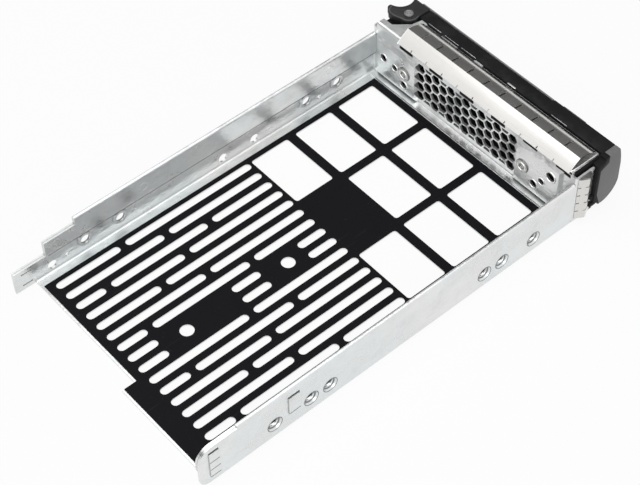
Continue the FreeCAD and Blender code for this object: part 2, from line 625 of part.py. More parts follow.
def make_drive_holes(body):
    """Countersunk dimples that stand in level with the hem and seat on the drive."""
    for side in (1, -1):
        low, high = (HEM_IN, LAYER_IN) if side > 0 else (f"-{LAYER_IN}", f"-{HEM_IN}")
        places = drive_hole_places(side)
        sweep(body, "Pad", "YZ", low, high, circles=[(place, DRIVE_Z, "dimple_r") for place in places])
        for place in places:
            add_sink(body, side, place)
        low, high = (HEM_IN, OUTER) if side > 0 else (f"-{OUTER}", f"-{HEM_IN}")
        sweep(body, "Pocket", "YZ", f"{low} - 1", f"{high} + 1",
              circles=[(place, DRIVE_Z, "screw_r") for place in places])
    low_holes = [(place, "low_hole_z", "screw_r") for place in ("low_hole_one", "low_hole_two", "low_hole_three")]
    low_holes += [(place, "pilot_z", "pilot_r") for place in ("pilot_one", "pilot_two")]
    sweep(body, "Pocket", "YZ", f"{LAYER_IN} - sheet_t / 2", f"{OUTER} + 1", circles=low_holes)


def make_wall_lances(body):
    """Shallow lanced bridges on the left wall and slits at the right wall's tip."""
    for name in ("lance_one", "lance_two"):
        start, end = f"{name}_y", f"({name}_y + {name}_long)"
        low, high = f"{name}_low", f"{name}_high"
        sweep(body, "Pad", "YZ", f"-{OUTER} - lance_out", f"-{OUTER}", [box_loop(start, end, low, high)])
        slits = [box_loop(start, end, f"{low} - lance_slit", low), box_loop(start, end, high, f"{high} + lance_slit")]
        sweep(body, "Pocket", "YZ", f"-{OUTER} - lance_slit", f"-{LAYER_IN} + sheet_t / 16", slits)
    slits = [box_loop("lance_two_y", "lance_two_y + lance_two_long", low, f"{low} + lance_slit")
             for low in ("tip_slit_low", "tip_slit_high")]
    sweep(body, "Pocket", "YZ", f"{LAYER_IN} - sheet_t / 2", f"{OUTER} + 1", slits)


def make_film():
    body = new_body("floor_film")
    rear = "(floor_rear - film_margin)"
    tail = "(floor_rear + floor_tail - film_margin)"
    outline = [
        corner("-film_half", "film_front"), corner("film_half", "film_front"), corner("film_half", rear),
        corner("floor_step_x", rear), corner("floor_step_x", tail), corner("-film_half", tail),
    ]
    sweep(body, "Pad", "XY", "sheet_t", FILM_TOP, [outline])
    cut_floor_holes(body, "sheet_t - 1", f"{FILM_TOP} + 1", "0")
    return body


# ---------------------------------------------------------------- front frame
PAD_HOLES = [
    ("rivet_right_x", "rivet_z", "rivet_r"),
    ("rivet_left_x", "rivet_z", "rivet_r"),
    ("rivet_right_x + 11.4", "rivet_z + 0.3", "tap_r"),
    ("rivet_right_x + 0.2", "rivet_z - 5.8", "tap_r"),
    ("rivet_right_x + 5.3", "rivet_z - 0.6", "tap_small_r"),
    ("rivet_left_x - 5.9", "rivet_z - 4.6", "tap_r"),
    ("rivet_left_x - 13.4", "rivet_z + 4.9", "tap_large_r"),
    ("rivet_left_x - 9.4", "rivet_z - 0.7", "tap_small_r"),
]


def make_front_frame():
    body = new_body("front_frame")
    outer = "(frame_bend + sheet_t)"
    section = [
        corner("flange_front", "frame_top"),
        corner("flange_front", FLANGE_LOW),
        corner(f"{FRAME_FACE} - frame_bend", FLANGE_LOW, "frame_bend", -1),
        corner(FRAME_FACE, f"{FLANGE_LOW} - frame_bend"),
        corner(FRAME_FACE, f"sheet_t + {outer}", outer),
        corner(f"{FRAME_FACE} + {outer}", "sheet_t"),
        corner("foot_long", "sheet_t"),
        corner("foot_long", "2 * sheet_t"),
        corner("frame_set + frame_bend", "2 * sheet_t", "frame_bend", -1),
        corner("frame_set", "2 * sheet_t + frame_bend"),
        corner("frame_set", f"frame_top - {outer}", outer),
        corner(f"frame_set - {outer}", "frame_top"),
    ]
    sweep(body, "Pad", "YZ", "-frame_half", "frame_half", [section])
    # Side flanges turned forward, set back in height from the top flange.
    for side, front in ((-1, "side_left_front"), (1, "side_right_front")):
        inner = "(frame_half - side_root)"
        loop = [
            corner(f"{side} * {inner}", FRAME_FACE),
            corner(f"{side} * {LAYER_IN}", FRAME_FACE),
            corner(f"{side} * {LAYER_IN}", front),
            corner(f"{side} * {OUTER}", front),
            corner(f"{side} * {OUTER}", "frame_set - bend_r", "bend_r", side),
            corner(f"{side} * ({OUTER} - bend_r)", "frame_set"),
            corner(f"{side} * {inner}", "frame_set"),
        ]
        sweep(body, "Pad", "XY", "side_low", "side_top", [loop])
    # Pads raised towards the drive on both sides of the vent.
    left_pad = ("pad_left_outer", "pad_left_inner", "pad_low", "pad_left_high")
    right_pad = ("pad_right_inner", "pad_right_outer", "pad_low", "pad_right_high")
    for x_low, x_high, z_low, z_high in (left_pad, right_pad):
        sweep(body, "Pad", "XZ", "frame_set", "0", [box_loop(x_low, x_high, z_low, z_high)], taper="pad_slope")
        inset = "sheet_t"
        sweep(body, "Pocket", "XZ", FRAME_FACE, "-sheet_t",
              [box_loop(f"{x_low} + {inset}", f"{x_high} - {inset}", f"{z_low} + {inset}", f"{z_high} - {inset}")])
    # Corner of the top flange cleared for the lever's claw.
    past = "frame_half + 1"
    cut = [
        corner(past, "claw_cut_rear"), corner("pin_x", "claw_cut_rear"),
        corner("pin_x - claw_cut_in", "claw_cut_mid"),
        corner("pin_x - claw_cut_in - claw_cut_lean", "flange_front - 1"), corner(past, "flange_front - 1"),
    ]
    sweep(body, "Pocket", "XY", f"{FLANGE_LOW} - 1", "frame_top + 1", [cut])
    seams = [box_loop(low, high, "flange_front - 1", "flange_front + seam_deep")
             for low, high in (("seam_b", "seam_a"), ("seam_d", "seam_c"), ("-frame_half - 1", "seam_e"))]
    sweep(body, "Pocket", "XY", f"{FLANGE_LOW} - 1", "frame_top + 1", seams)
    cut_vent(body)
    cut_clip_slots(body)
    sweep(body, "Pocket", "XZ", f"{FRAME_FACE} - 1", "1", circles=PAD_HOLES)
    return body


def cut_vent(body):
    """Honeycomb vent: seven tall columns and six between them, cut flat at both ends."""
    step = f"(hex_pitch * {math.sqrt(3) / 2})"
    low, high = f"{FRAME_FACE} - 1", "1"
    first = f"(hex_x + 6 * {step})"
    tall = [hex_loop(first, f"(hex_z + {row} * hex_pitch)", "hex_flat") for row in range(4)]
    pocket = sweep(body, "Pocket", "XZ", low, high, tall)
    repeat(body, pocket, "X", f"2 * {step}", 7, back=True)
    second = f"(hex_x + 5 * {step})"
    short = [hex_loop(second, f"(hex_z + {row + 0.5} * hex_pitch)", "hex_flat") for row in range(3)]
    half = f"hex_flat / {math.sqrt(3)} / 2"
    low_flat = "(hex_z - hex_flat / 2 + vent_trim)"
    high_flat = "(hex_z + 3 * hex_pitch + hex_flat / 2 - vent_trim)"
    below = "(hex_z - hex_pitch / 2 + hex_flat / 2)"
    above = "(hex_z + 3.5 * hex_pitch - hex_flat / 2)"
    wide = f"({half} + vent_flare)"
    short.append([
        corner(f"{second} - {wide}", low_flat), corner(f"{second} + {wide}", low_flat),
        corner(f"{second} + {half}", below), corner(f"{second} - {half}", below)])
    short.append([
        corner(f"{second} - {half}", above), corner(f"{second} + {half}", above),
        corner(f"{second} + {wide}", high_flat), corner(f"{second} - {wide}", high_flat)])
    pocket = sweep(body, "Pocket", "XZ", low, high, short)
    repeat(body, pocket, "X", f"2 * {step}", 6, back=True)


def cut_clip_slots(body):
    """Slots under every other finger, just below the top flange's bend."""
    top = f"({FLANGE_LOW} - frame_bend)"
    middle = "(finger_x - finger_pitch / 2)"
    loop = box_loop(f"{middle} - clip_slot_wide / 2", f"{middle} + clip_slot_wide / 2",
                    f"{top} - clip_slot_high", top)
    pocket = sweep(body, "Pocket", "XZ", f"{FRAME_FACE} - 1", "frame_set + 1", [loop])
    repeat(body, pocket, "X", "2 * finger_pitch", 6, back=True)


# ---------------------------------------------------------------- spring strips
def finger_section(rear, base, low, crest, rise, foot):
    """Section (along, out) of a spring finger: lip behind rear, ramp to the crest, arc down to the foot."""
    reach = "(2 * finger_t)"
    return [
        corner(rear, low),
        corner(rear, f"{base} + finger_t / 4"),
        corner(crest, f"{base} + {rise} - finger_t", "front_arc_r"),
        corner(f"{foot} + strip_foot + {reach} / 2", base),
        corner(foot, base),
        corner(foot, f"{base} + finger_t"),
        corner(f"{foot} + strip_foot", f"{base} + finger_t", "front_arc_r", -1),
        corner(crest, f"{base} + {rise}"),
        corner(f"{rear} + finger_t", f"{base} + finger_t"),
        corner(f"{rear} + finger_t", low),
    ]


def make_top_strip():
    """Eleven fingers, slit ahead of the crest; the strip's lip hooks behind the front wall."""
    body = new_body("top_spring_strip")
    section = finger_section("frame_set", "frame_top", "lip_low", "crest_y", "finger_rise", "(flange_front + strip_in)")
    sweep(body, "Pad", "YZ", "(finger_x - 11 * finger_pitch)", "finger_x", [section])
    joint = "(finger_x - finger_pitch)"
    over = "frame_top + finger_rise + 1"
    slit = box_loop(f"{joint} - finger_gap / 2", f"{joint} + finger_gap / 2",
                    "flange_front + strip_in + strip_foot", "crest_y + slit_past")
    notch = box_loop(f"{joint} - notch_wide / 2", f"{joint} + notch_wide / 2",
                     "frame_set - notch_long", "frame_set + finger_t + 1")
    pocket = sweep(body, "Pocket", "XY", "frame_top - sheet_t / 8", over, [slit])
    repeat(body, pocket, "X", "finger_pitch", 10, back=True)
    pocket = sweep(body, "Pocket", "XY", "lip_low - 1", over, [notch])
    repeat(body, pocket, "X", "finger_pitch", 10, back=True)
    return body


def make_side_strip():
    """Five fingers on the left side flange; the section lies in plan."""
    body = new_body("side_spring_strip")
    section = finger_section("(frame_set - bend_r)", OUTER, OUTER, "side_crest_y", "side_finger_rise",
                             "(side_left_front + finger_t)")
    section = [corner(f"-({out})", along, radius, turn) for along, out, radius, turn in section[1:-1]]
    section.append(corner(f"-{OUTER}", "frame_set - bend_r + finger_t"))
    section[0] = corner(f"-{OUTER}", "frame_set - bend_r")
    low = "side_finger_low"
    sweep(body, "Pad", "XY", low, f"{low} + 5 * side_finger_pitch", [section])
    joint = f"{low} + side_finger_pitch"
    for start, end in (("side_left_front + strip_foot + 2 * finger_t", "side_crest_y + slit_past"),
                       ("frame_set - bend_r - notch_long", "frame_set")):
        slit = box_loop(start, end, f"{joint} - finger_gap / 2", f"{joint} + finger_gap / 2")
        pocket = sweep(body, "Pocket", "YZ", f"-{OUTER} - side_finger_rise - 1", f"-{OUTER} + sheet_t / 8", [slit])
        repeat(body, pocket, "Z", "side_finger_pitch", 4)
    return body


# ---------------------------------------------------------------- bezel, lever and button
BAR_LOW = "(bezel_low + bar_t)"
BAR_HIGH = "(bezel_top - bar_t)"
PLATE_LOW = "(bezel_low + plate_t)"
PLATE_HIGH = "(bezel_top - plate_t)"
BAY_BACK = "(lever_back + lever_gap)"
BUTTON_Z = "((bezel_low + bezel_top) / 2)"
BAR_RIGHT = "(pin_x - bar_right_in)"
CLAW_RIGHT = "(pin_x + claw_out)"
AHEAD = "(bezel_front - 5)"


def nose_curve():
    """Side outline of the swelling front face, from the bottom up."""
    return [
        corner("bezel_front + nose_low_set", "bezel_low", "nose_low_r", -1),
        corner(BELLY_Y, "bezel_low + nose_low_z"),
        corner(BELLY_Y, "bezel_low + nose_low_z + nose_flat", "nose_r", -1),
        corner("bezel_front - nose_edge_out", "bezel_top - nose_edge", "nose_edge", -1),
        corner("bezel_front + nose_edge_in", "bezel_top"),
    ]


def front_outline():
    """Closed side outline of the bezel between its rear face and the front face."""
    return [corner("bezel_back", "bezel_top"), corner("bezel_back", "bezel_low")] + nose_curve()


def make_housing():
    body = new_body("bezel_housing")
    sweep(body, "Pad", "YZ", "bezel_left", f"{BAR_RIGHT} - bay_gap", [front_outline()])
    # Bay for the lever: its fascia stands ahead of the two bars, its arm between them.
    bay = ("lever_end - lever_gap", "pin_x")
    sweep(body, "Pocket", "YZ", *bay, [box_loop(AHEAD, "bar_front", "bezel_low - 1", "bezel_top + 1")])
    sweep(body, "Pocket", "YZ", *bay, [box_loop("bar_front - 1", BAY_BACK, BAR_LOW, BAR_HIGH)])
    # Air openings between the ribs behind the lever.
    opening = round_box("(air_right - air_wide)", "air_right", f"({BAR_LOW} + air_edge)",
                        f"({BAR_HIGH} - air_edge)", "air_r")
    pocket = sweep(body, "Pocket", "XZ", f"{BAY_BACK} - 1", "bezel_back + 1", [opening])
    repeat(body, pocket, "X", "air_pitch", 5, back=True)
    # Floor of the moulding under the air space.
    sweep(body, "Pad", "XY", "side_low", "bezel_low + join", [
        box_loop("bezel_left + block_in", f"{BAR_RIGHT} - bay_gap", "bezel_back - join", f"{FRAME_FACE} - shelf_gap")])
    add_left_block(body)
    add_right_block(body)
    for place in ("pipe_x", "pipe_x - pipe_pitch"):
        sweep(body, "Pocket", "XZ", AHEAD, "1", circles=[(place, "pipe_z", "pipe_r + press")])
    return body


def add_left_block(body):
    """Block behind the button, riveted to the front wall."""
    block = box_loop("bezel_left + block_in", "button_x + button_wide / 2 + block_past", "bezel_low + block_in",
                     f"{FLANGE_LOW} - block_gap")
    sweep(body, "Pad", "XZ", "bezel_back - join", FRAME_FACE, [block])
    sweep(body, "Pad", "XZ", FRAME_FACE, "-sheet_t", circles=[("rivet_left_x", "rivet_z", "2 * rivet_r")])
    well = box_loop("button_x - button_wide / 2 - button_gap", "button_x + button_wide / 2 + button_gap",
                    f"{BUTTON_Z} - button_high / 2 - button_gap", f"{BUTTON_Z} + button_high / 2 + button_gap")
    sweep(body, "Pocket", "XZ", AHEAD, "bezel_front + well_deep", [well])
    sweep(body, "Pocket", "XZ", "bezel_front", "bezel_front + spring_well_deep",
          circles=[("button_x", BUTTON_Z, "spring_well_r")])
    hook = box_loop("button_x + button_wide / 2", "lever_end + 1", f"{BUTTON_Z} - hook_half - button_gap",
                    f"{BUTTON_Z} + hook_half + button_gap")
    sweep(body, "Pocket", "XZ", AHEAD, "lever_back + hook_room", [hook])
    sweep(body, "Pocket", "XZ", "-rivet_deep", "1", circles=[("rivet_left_x", "rivet_z", "rivet_r")])


def add_right_block(body):
    """Ear that stands between the lever's claw plates and carries the pin."""
    reach = "(hub_r + ear_wall)"
    ahead = "(pin_y - bezel_back)"
    plan = [
        corner("ear_root", FRAME_FACE),
        corner("ear_root", "bezel_back - join"),
        corner(f"pin_x - sqrt({reach} ^ 2 - {ahead} ^ 2)", "bezel_back", reach),
        corner(f"pin_x + sqrt({reach} ^ 2 - 1)", "pin_y + 1"),
        corner(f"{LAYER_IN} - ear_out", "pin_y + 1"),
        corner(f"{LAYER_IN} - ear_out", "pin_y + ear_long"),
        corner(f"{LAYER_IN} - ear_out - ear_step", "pin_y + ear_long"),
        corner(f"{LAYER_IN} - ear_out - ear_step", FRAME_FACE),
    ]
    sweep(body, "Pad", "XY", f"{PLATE_LOW} + ear_gap", f"{PLATE_HIGH} - ear_gap", [plan])
    sweep(body, "Pad", "XZ", FRAME_FACE, "-sheet_t", circles=[("rivet_right_x", "rivet_z", "2 * rivet_r")])
    sweep(body, "Pocket", "XY", "bezel_low - 1", "bezel_top + 1", circles=[("pin_x", "pin_y", "pin_r + press")])
    sweep(body, "Pocket", "XY", f"{PLATE_HIGH} - coil_well_deep", "bezel_top + 1",
          circles=[("pin_x", "pin_y", "coil_well_r")])
    sweep(body, "Pocket", "XZ", "-rivet_deep", "1", circles=[("rivet_right_x", "rivet_z", "rivet_r")])


def make_end_cap():
    body = new_body("end_cap")
    rear = [
        corner("bezel_back + cap_lip_in", "bezel_top"), corner("bezel_back + cap_lip_in", "bezel_top - cap_lip"),
        corner("side_left_front - cap_gap", "bezel_top - cap_lip"),
        corner("side_left_front - cap_gap", "bezel_low + cap_low"),
        corner("side_left_front - cap_in_one", "bezel_low + cap_mid"),
        corner("side_left_front - cap_in_two", "bezel_low"),
    ]
    sweep(body, "Pad", "YZ", "bezel_left - cap_t", "bezel_left", [rear + nose_curve()])
    return body


def claw_plan():
    """Plan of a claw plate: hub round the pin, hooked outer edge, arm's end."""
    return [
        corner(BAR_RIGHT, "lever_back - 1"),
        corner("pin_x + claw_tip_x", "lever_back - 1"),
        corner("pin_x + claw_tip_x", "pin_y + claw_tip_y", "claw_tip_r"),
        corner("pin_x + claw_heel_x", "pin_y + claw_heel_y"),
        corner("pin_x + claw_rear_out", "pin_y + claw_rear_y"),
        corner("pin_x + claw_rear_in", "pin_y + claw_rear_y"),
        corner("pin_x", "pin_y + hub_r", "hub_r"),
        corner("pin_x - hub_r", "pin_y"),
        corner(BAR_RIGHT, "pin_y - claw_neck"),
    ]


def cut_louvres(body):
    """Slots for the air through the lever's arm."""
    slot = slot_loop("louvre_x", f"({BUTTON_Z} - louvre_high / 2)", f"({BUTTON_Z} + louvre_high / 2)", "louvre_wide")
    pocket = sweep(body, "Pocket", "XZ", AHEAD, "lever_back + 1", [slot])
    repeat(body, pocket, "X", "louvre_pitch", 11, back=True)


def make_lever():
    """Arm between the bezel's bars, with claw plates above and below the ear."""
    body = new_body("lever")
    low, high = f"{BAR_LOW} + lever_gap", f"{BAR_HIGH} - lever_gap"
    sweep(body, "Pad", "YZ", "lever_end", CLAW_RIGHT, [box_loop("arm_front", "lever_back", low, high)])
    sweep(body, "Pad", "YZ", BAR_RIGHT, CLAW_RIGHT, [box_loop("arm_front", "lever_back", "bezel_low", "bezel_top")])
    for low, high in (("bezel_low", PLATE_LOW), (PLATE_HIGH, "bezel_top")):
        sweep(body, "Pad", "XY", low, high, [claw_plan()])
    past = "pin_x + claw_tip_x + 4"
    outside = [
        corner(CLAW_RIGHT, AHEAD), corner(past, AHEAD), corner(past, "pin_y + claw_tip_y"),
        corner("pin_x + claw_tip_x", "pin_y + claw_tip_y", "claw_hook_r"),
        corner(CLAW_RIGHT, "arm_front + nose_edge"),
    ]
    sweep(body, "Pocket", "XY", "bezel_low - 1", "bezel_top + 1", [outside])
    sweep(body, "Pocket", "XY", "bezel_low - 1", "bezel_top + 1", circles=[("pin_x", "pin_y", "pin_r + pin_fit")])
    cut_louvres(body)
    return body


def make_fascia():
    """Swelling cover on the front of the lever's arm."""
    body = new_body("lever_fascia")
    sweep(body, "Pad", "YZ", "lever_end", "pin_x + skin_right", [front_outline()])
    sweep(body, "Pocket", "YZ", "lever_end - 1", "pin_x + skin_right + 1",
          [box_loop("arm_front", "bezel_back + 1", "bezel_low - 1", "bezel_top + 1")])
    cut_louvres(body)
    return body


def make_pin():
    body = new_body("lever_pin")
    sweep(body, "Pad", "XY", "bezel_low - pin_proud", "bezel_top + pin_proud", circles=[("pin_x", "pin_y", "pin_r")])
    return body


def make_button():
    body = new_body("release_button")
    left, right = "(button_x - button_wide / 2)", "(button_x + button_wide / 2)"
    low, high = f"({BUTTON_Z} - button_high / 2)", f"({BUTTON_Z} + button_high / 2)"
    front = f"({BELLY_Y} - button_proud)"
    sweep(body, "Pad", "XZ", front, "bezel_front + button_deep", [box_loop(left, right, low, high)])
    sweep(body, "Pocket", "XZ", "bezel_front + button_face", "bezel_front + button_deep + 1", [
        box_loop(f"{left} + button_wall", f"{right} - button_wall", f"{low} + button_wall", f"{high} - button_wall")])
    sweep(body, "Pad", "XZ", "bezel_front", "bezel_front + peg_long", circles=[("button_x", BUTTON_Z, "peg_r")])
    hook = box_loop(f"{right} - join", "lever_end - lever_gap", f"{BUTTON_Z} - hook_half", f"{BUTTON_Z} + hook_half")
    sweep(body, "Pad", "XZ", "lever_back - hook_back", "lever_back + hook_deep", [hook])
    return body


def make_pipe(name, place):
    body = new_body(name)
    sweep(body, "Pad", "XZ", "bezel_front - pipe_front", "frame_set - pipe_rear", circles=[(place, "pipe_z", "pipe_r")])
    return body


def make_rivet(name, place):
    body = new_body(name)
    sweep(body, "Pad", "XZ", "-rivet_long", "rivet_floor", circles=[(place, "rivet_z", "rivet_r - rivet_play")])
    sweep(body, "Pad", "XZ", "0", "rivet_head_t", circles=[(place, "rivet_z", "rivet_head_r")])
    sweep(body, "Pocket", "XZ", "rivet_floor", "1", circles=[(place, "rivet_z", "rivet_dish_r")])
    return body


def make_coil(name, plane, place, axis_at, along, radius, wire, pitch, long):
    """Square-wire coil spring on an axis that runs up the sketch at axis_at."""
    body = new_body(name)
    sketch = body.newObject("Sketcher::SketchObject", f"{name}_wire")
    sketch.AttachmentSupport = [(origin_part(body, plane + "_Plane"), "")]
    sketch.MapMode = "FlatFace"
    sketch.AttachmentOffset = Placement(Vector(0, 0, mm(place)), Rotation())
    sketch.setExpression("AttachmentOffset.Base.z", formula(place))
    middle = f"({axis_at} + {radius})"
    draw(sketch, box_loop(f"{middle} - {wire}", f"{middle} + {wire}", f"{along} - {wire}", f"{along} + {wire}"))
    start, end = Vector(mm(axis_at), mm(along), 0), Vector(mm(axis_at), mm(f"{along} + {long}"), 0)
    line = sketch.addGeometry(Part.LineSegment(start, end), True)
    first = sketch.ConstraintCount
    sketch.addConstraint([
        Sketcher.Constraint("DistanceX", -1, 1, line, 1, start.x),
        Sketcher.Constraint("DistanceX", -1, 1, line, 2, end.x),
        Sketcher.Constraint("DistanceY", -1, 1, line, 1, start.y),
        Sketcher.Constraint("DistanceY", -1, 1, line, 2, end.y),
    ])
    for index, text in enumerate((axis_at, axis_at, along, f"{along} + {long}")):
        sketch.setExpression(f"Constraints[{first + index}]", formula(text))
    helix = body.newObject("PartDesign::AdditiveHelix", f"{name}_helix")
    helix.Profile = sketch
    helix.ReferenceAxis = (sketch, ["Axis0"])
    helix.Mode = "pitch-height-angle"
    helix.setExpression("Pitch", formula(pitch))
    helix.setExpression("Height", formula(long))
    return body


def make_lever_spring():
    return make_coil("lever_spring", "XZ", "-(pin_y)", "pin_x", f"({PLATE_HIGH} - coil_well_deep + coil_seat)",
                     "coil_r", "coil_wire", "coil_pitch", "coil_long")


def make_button_spring():
    return make_coil("button_spring", "XY", BUTTON_Z, "button_x", "(bezel_front + spring_seat)", "spring_r",
                     "spring_wire", "spring_pitch", "spring_long")


# ---------------------------------------------------------------- run
BUILDERS = [make_tray, make_film, make_front_frame, make_top_strip, make_side_strip, make_housing, make_end_cap,
            make_lever, make_fascia, make_pin, make_lever_spring, make_button, make_button_spring]
pieces = [builder() for builder in BUILDERS]
pieces.append(make_pipe("light_pipe_inner", "pipe_x"))
pieces.append(make_pipe("light_pipe_outer", "pipe_x - pipe_pitch"))
pieces.append(make_rivet("rivet_right", "rivet_right_x"))
pieces.append(make_rivet("rivet_left", "rivet_left_x"))
doc.recompute()

faults = [item.Name for item in doc.Objects if {"Invalid", "Error"} & set(item.State)]
if faults:
    raise RuntimeError("failed objects: " + ", ".join(faults))
for piece in pieces:
    if piece.Shape.isNull() or not piece.Shape.isValid():
        raise RuntimeError("bad shape: " + piece.Label)
for piece in pieces:
    piece.Shape.exportStep(f"parts/{piece.Label}.step")
    print(piece.Label, len(piece.Shape.Solids), round(piece.Shape.Volume, 1))
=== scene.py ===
"""Looks of a hot swap drive caddy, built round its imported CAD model.

Lengths in tables and calls are millimetres, and MM turns them into metres. The room at the end
(lamps, cards and camera) is in metres, and textures repeat per metre.
"""
import json
import math

import bmesh
import bpy
from mathutils import Matrix, Vector


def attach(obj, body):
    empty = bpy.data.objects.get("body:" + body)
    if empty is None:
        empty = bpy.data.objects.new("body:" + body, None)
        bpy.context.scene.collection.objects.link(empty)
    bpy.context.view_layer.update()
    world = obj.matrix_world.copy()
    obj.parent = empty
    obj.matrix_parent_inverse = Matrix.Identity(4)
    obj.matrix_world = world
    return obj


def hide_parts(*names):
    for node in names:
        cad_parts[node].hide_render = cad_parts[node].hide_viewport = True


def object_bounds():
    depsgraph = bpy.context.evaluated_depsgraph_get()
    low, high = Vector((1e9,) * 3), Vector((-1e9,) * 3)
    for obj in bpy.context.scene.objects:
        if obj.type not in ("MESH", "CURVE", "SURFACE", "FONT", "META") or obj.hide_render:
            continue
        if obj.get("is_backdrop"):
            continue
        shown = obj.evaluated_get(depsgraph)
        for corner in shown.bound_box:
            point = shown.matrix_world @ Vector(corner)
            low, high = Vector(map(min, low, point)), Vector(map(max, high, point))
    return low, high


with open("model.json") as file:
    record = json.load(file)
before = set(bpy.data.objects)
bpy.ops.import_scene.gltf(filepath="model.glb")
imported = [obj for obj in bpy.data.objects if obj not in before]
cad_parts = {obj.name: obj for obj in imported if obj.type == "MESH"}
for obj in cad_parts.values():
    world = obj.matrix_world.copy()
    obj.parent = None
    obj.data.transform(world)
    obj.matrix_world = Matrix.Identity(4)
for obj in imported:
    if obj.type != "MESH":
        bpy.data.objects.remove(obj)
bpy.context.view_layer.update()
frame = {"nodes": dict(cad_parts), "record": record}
MM = 0.001


# ---------------------------------------------------------------- shader sockets
class Sock:
    """A shader socket whose arithmetic adds Math nodes."""

    def __init__(self, tree, socket):
        self.tree, self.socket = tree, socket

    def math(self, operation, *others):
        return node(self.tree, "ShaderNodeMath", dict(operation=operation),
                    dict(enumerate((self,) + others)))[0]

    def __add__(self, other):
        return self.math("ADD", other)

    def __sub__(self, other):
        return self.math("SUBTRACT", other)

    def __rsub__(self, other):
        return node(self.tree, "ShaderNodeMath", dict(operation="SUBTRACT"), {0: other, 1: self})[0]

    def __mul__(self, other):
        return self.math("MULTIPLY", other)

    __radd__, __rmul__ = __add__, __mul__

    def band(self, low, high):
        """0 below low, 1 above high, smooth between."""
        return node(self.tree, "ShaderNodeMapRange", dict(interpolation_type="SMOOTHSTEP"),
                    {"Value": self, "From Min": low, "From Max": high})[0]


class Outs:
    """Outputs of a node, by number or name."""

    def __init__(self, tree, made):
        self.tree, self.made = tree, made

    def __getitem__(self, key):
        return Sock(self.tree, self.made.outputs[key])


def fill(tree, socket, value):
    """Link a socket to another, or set its own value."""
    if isinstance(value, Sock):
        tree.links.new(value.socket, socket)
    else:
        socket.default_value = value


def node(tree, kind, settings=(), inputs=()):
    """Add a node: settings first, then the values or links of its sockets."""
    made = tree.nodes.new(kind)
    for name, value in dict(settings).items():
        setattr(made, name, value)
    for key, value in dict(inputs).items():
        fill(tree, made.inputs[key], value)
    return Outs(tree, made)


def blend_colour(tree, factor, low, high):
    """A colour between two others, each a socket or three numbers."""
    mixed = tree.nodes.new("ShaderNodeMix")
    mixed.data_type = "RGBA"
    factor_in, low_in, high_in, colour_out = 0, 6, 7, 2    # the colour sockets of a Mix node
    fill(tree, mixed.inputs[factor_in], factor)
    for number, colour in ((low_in, low), (high_in, high)):
        fill(tree, mixed.inputs[number], colour if isinstance(colour, Sock) else (*colour, 1))
    return Sock(tree, mixed.outputs[colour_out])


def scaled(colour, factor, lift=0.0):
    return tuple(c * factor + lift for c in colour)


class Finish:
    """A material with its Principled shader and patterns on object coordinates."""

    def __init__(self, name, **fixed):
        self.material = bpy.data.materials.new(name)
        self.material.use_nodes = True
        self.tree = self.material.node_tree
        self.shader = self.tree.nodes["Principled BSDF"]
        for key, value in fixed.items():
            self.shader.inputs[key.replace("_", " ")].default_value = value
        self.place = node(self.tree, "ShaderNodeTexCoord")["Object"]

    def stretched(self, x, y, z):
        """Object coordinates scaled by axis, for noise drawn out along the smallest."""
        return node(self.tree, "ShaderNodeMapping", {},
                    {"Vector": self.place, "Scale": (x, y, z)})[0]

    def noise(self, scale, detail=3.0, rough=0.5, at=None):
        """Cloudy noise on the object's coordinates, or on others that are given."""
        inputs = {"Vector": at or self.place, "Scale": scale, "Detail": detail,
                  "Roughness": rough}
        return node(self.tree, "ShaderNodeTexNoise", {}, inputs)["Fac"]

    def spangle(self, scale):
        """Flat crystal patches of random grey."""
        patches = node(self.tree, "ShaderNodeTexVoronoi", dict(feature="F1"),
                       {"Vector": self.place, "Scale": scale})["Color"]
        return node(self.tree, "ShaderNodeRGBToBW", {}, {"Color": patches})[0]

    def pointiness(self):
        """Above one half on outer edges, below it in inner ones."""
        return node(self.tree, "ShaderNodeNewGeometry")["Pointiness"]

    def openness(self, reach):
        """1 on open faces, falling in corners and under edges."""
        return node(self.tree, "ShaderNodeAmbientOcclusion", dict(samples=8, only_local=True),
                    {"Distance": reach})["AO"]

    def feed(self, socket, value):
        self.tree.links.new(value.socket, self.shader.inputs[socket])

    def bump(self, height, strength, distance, under=None):
        inputs = {"Height": height, "Strength": strength, "Distance": distance}
        if under is not None:
            inputs["Normal"] = under
        return node(self.tree, "ShaderNodeBump", {}, inputs)["Normal"]


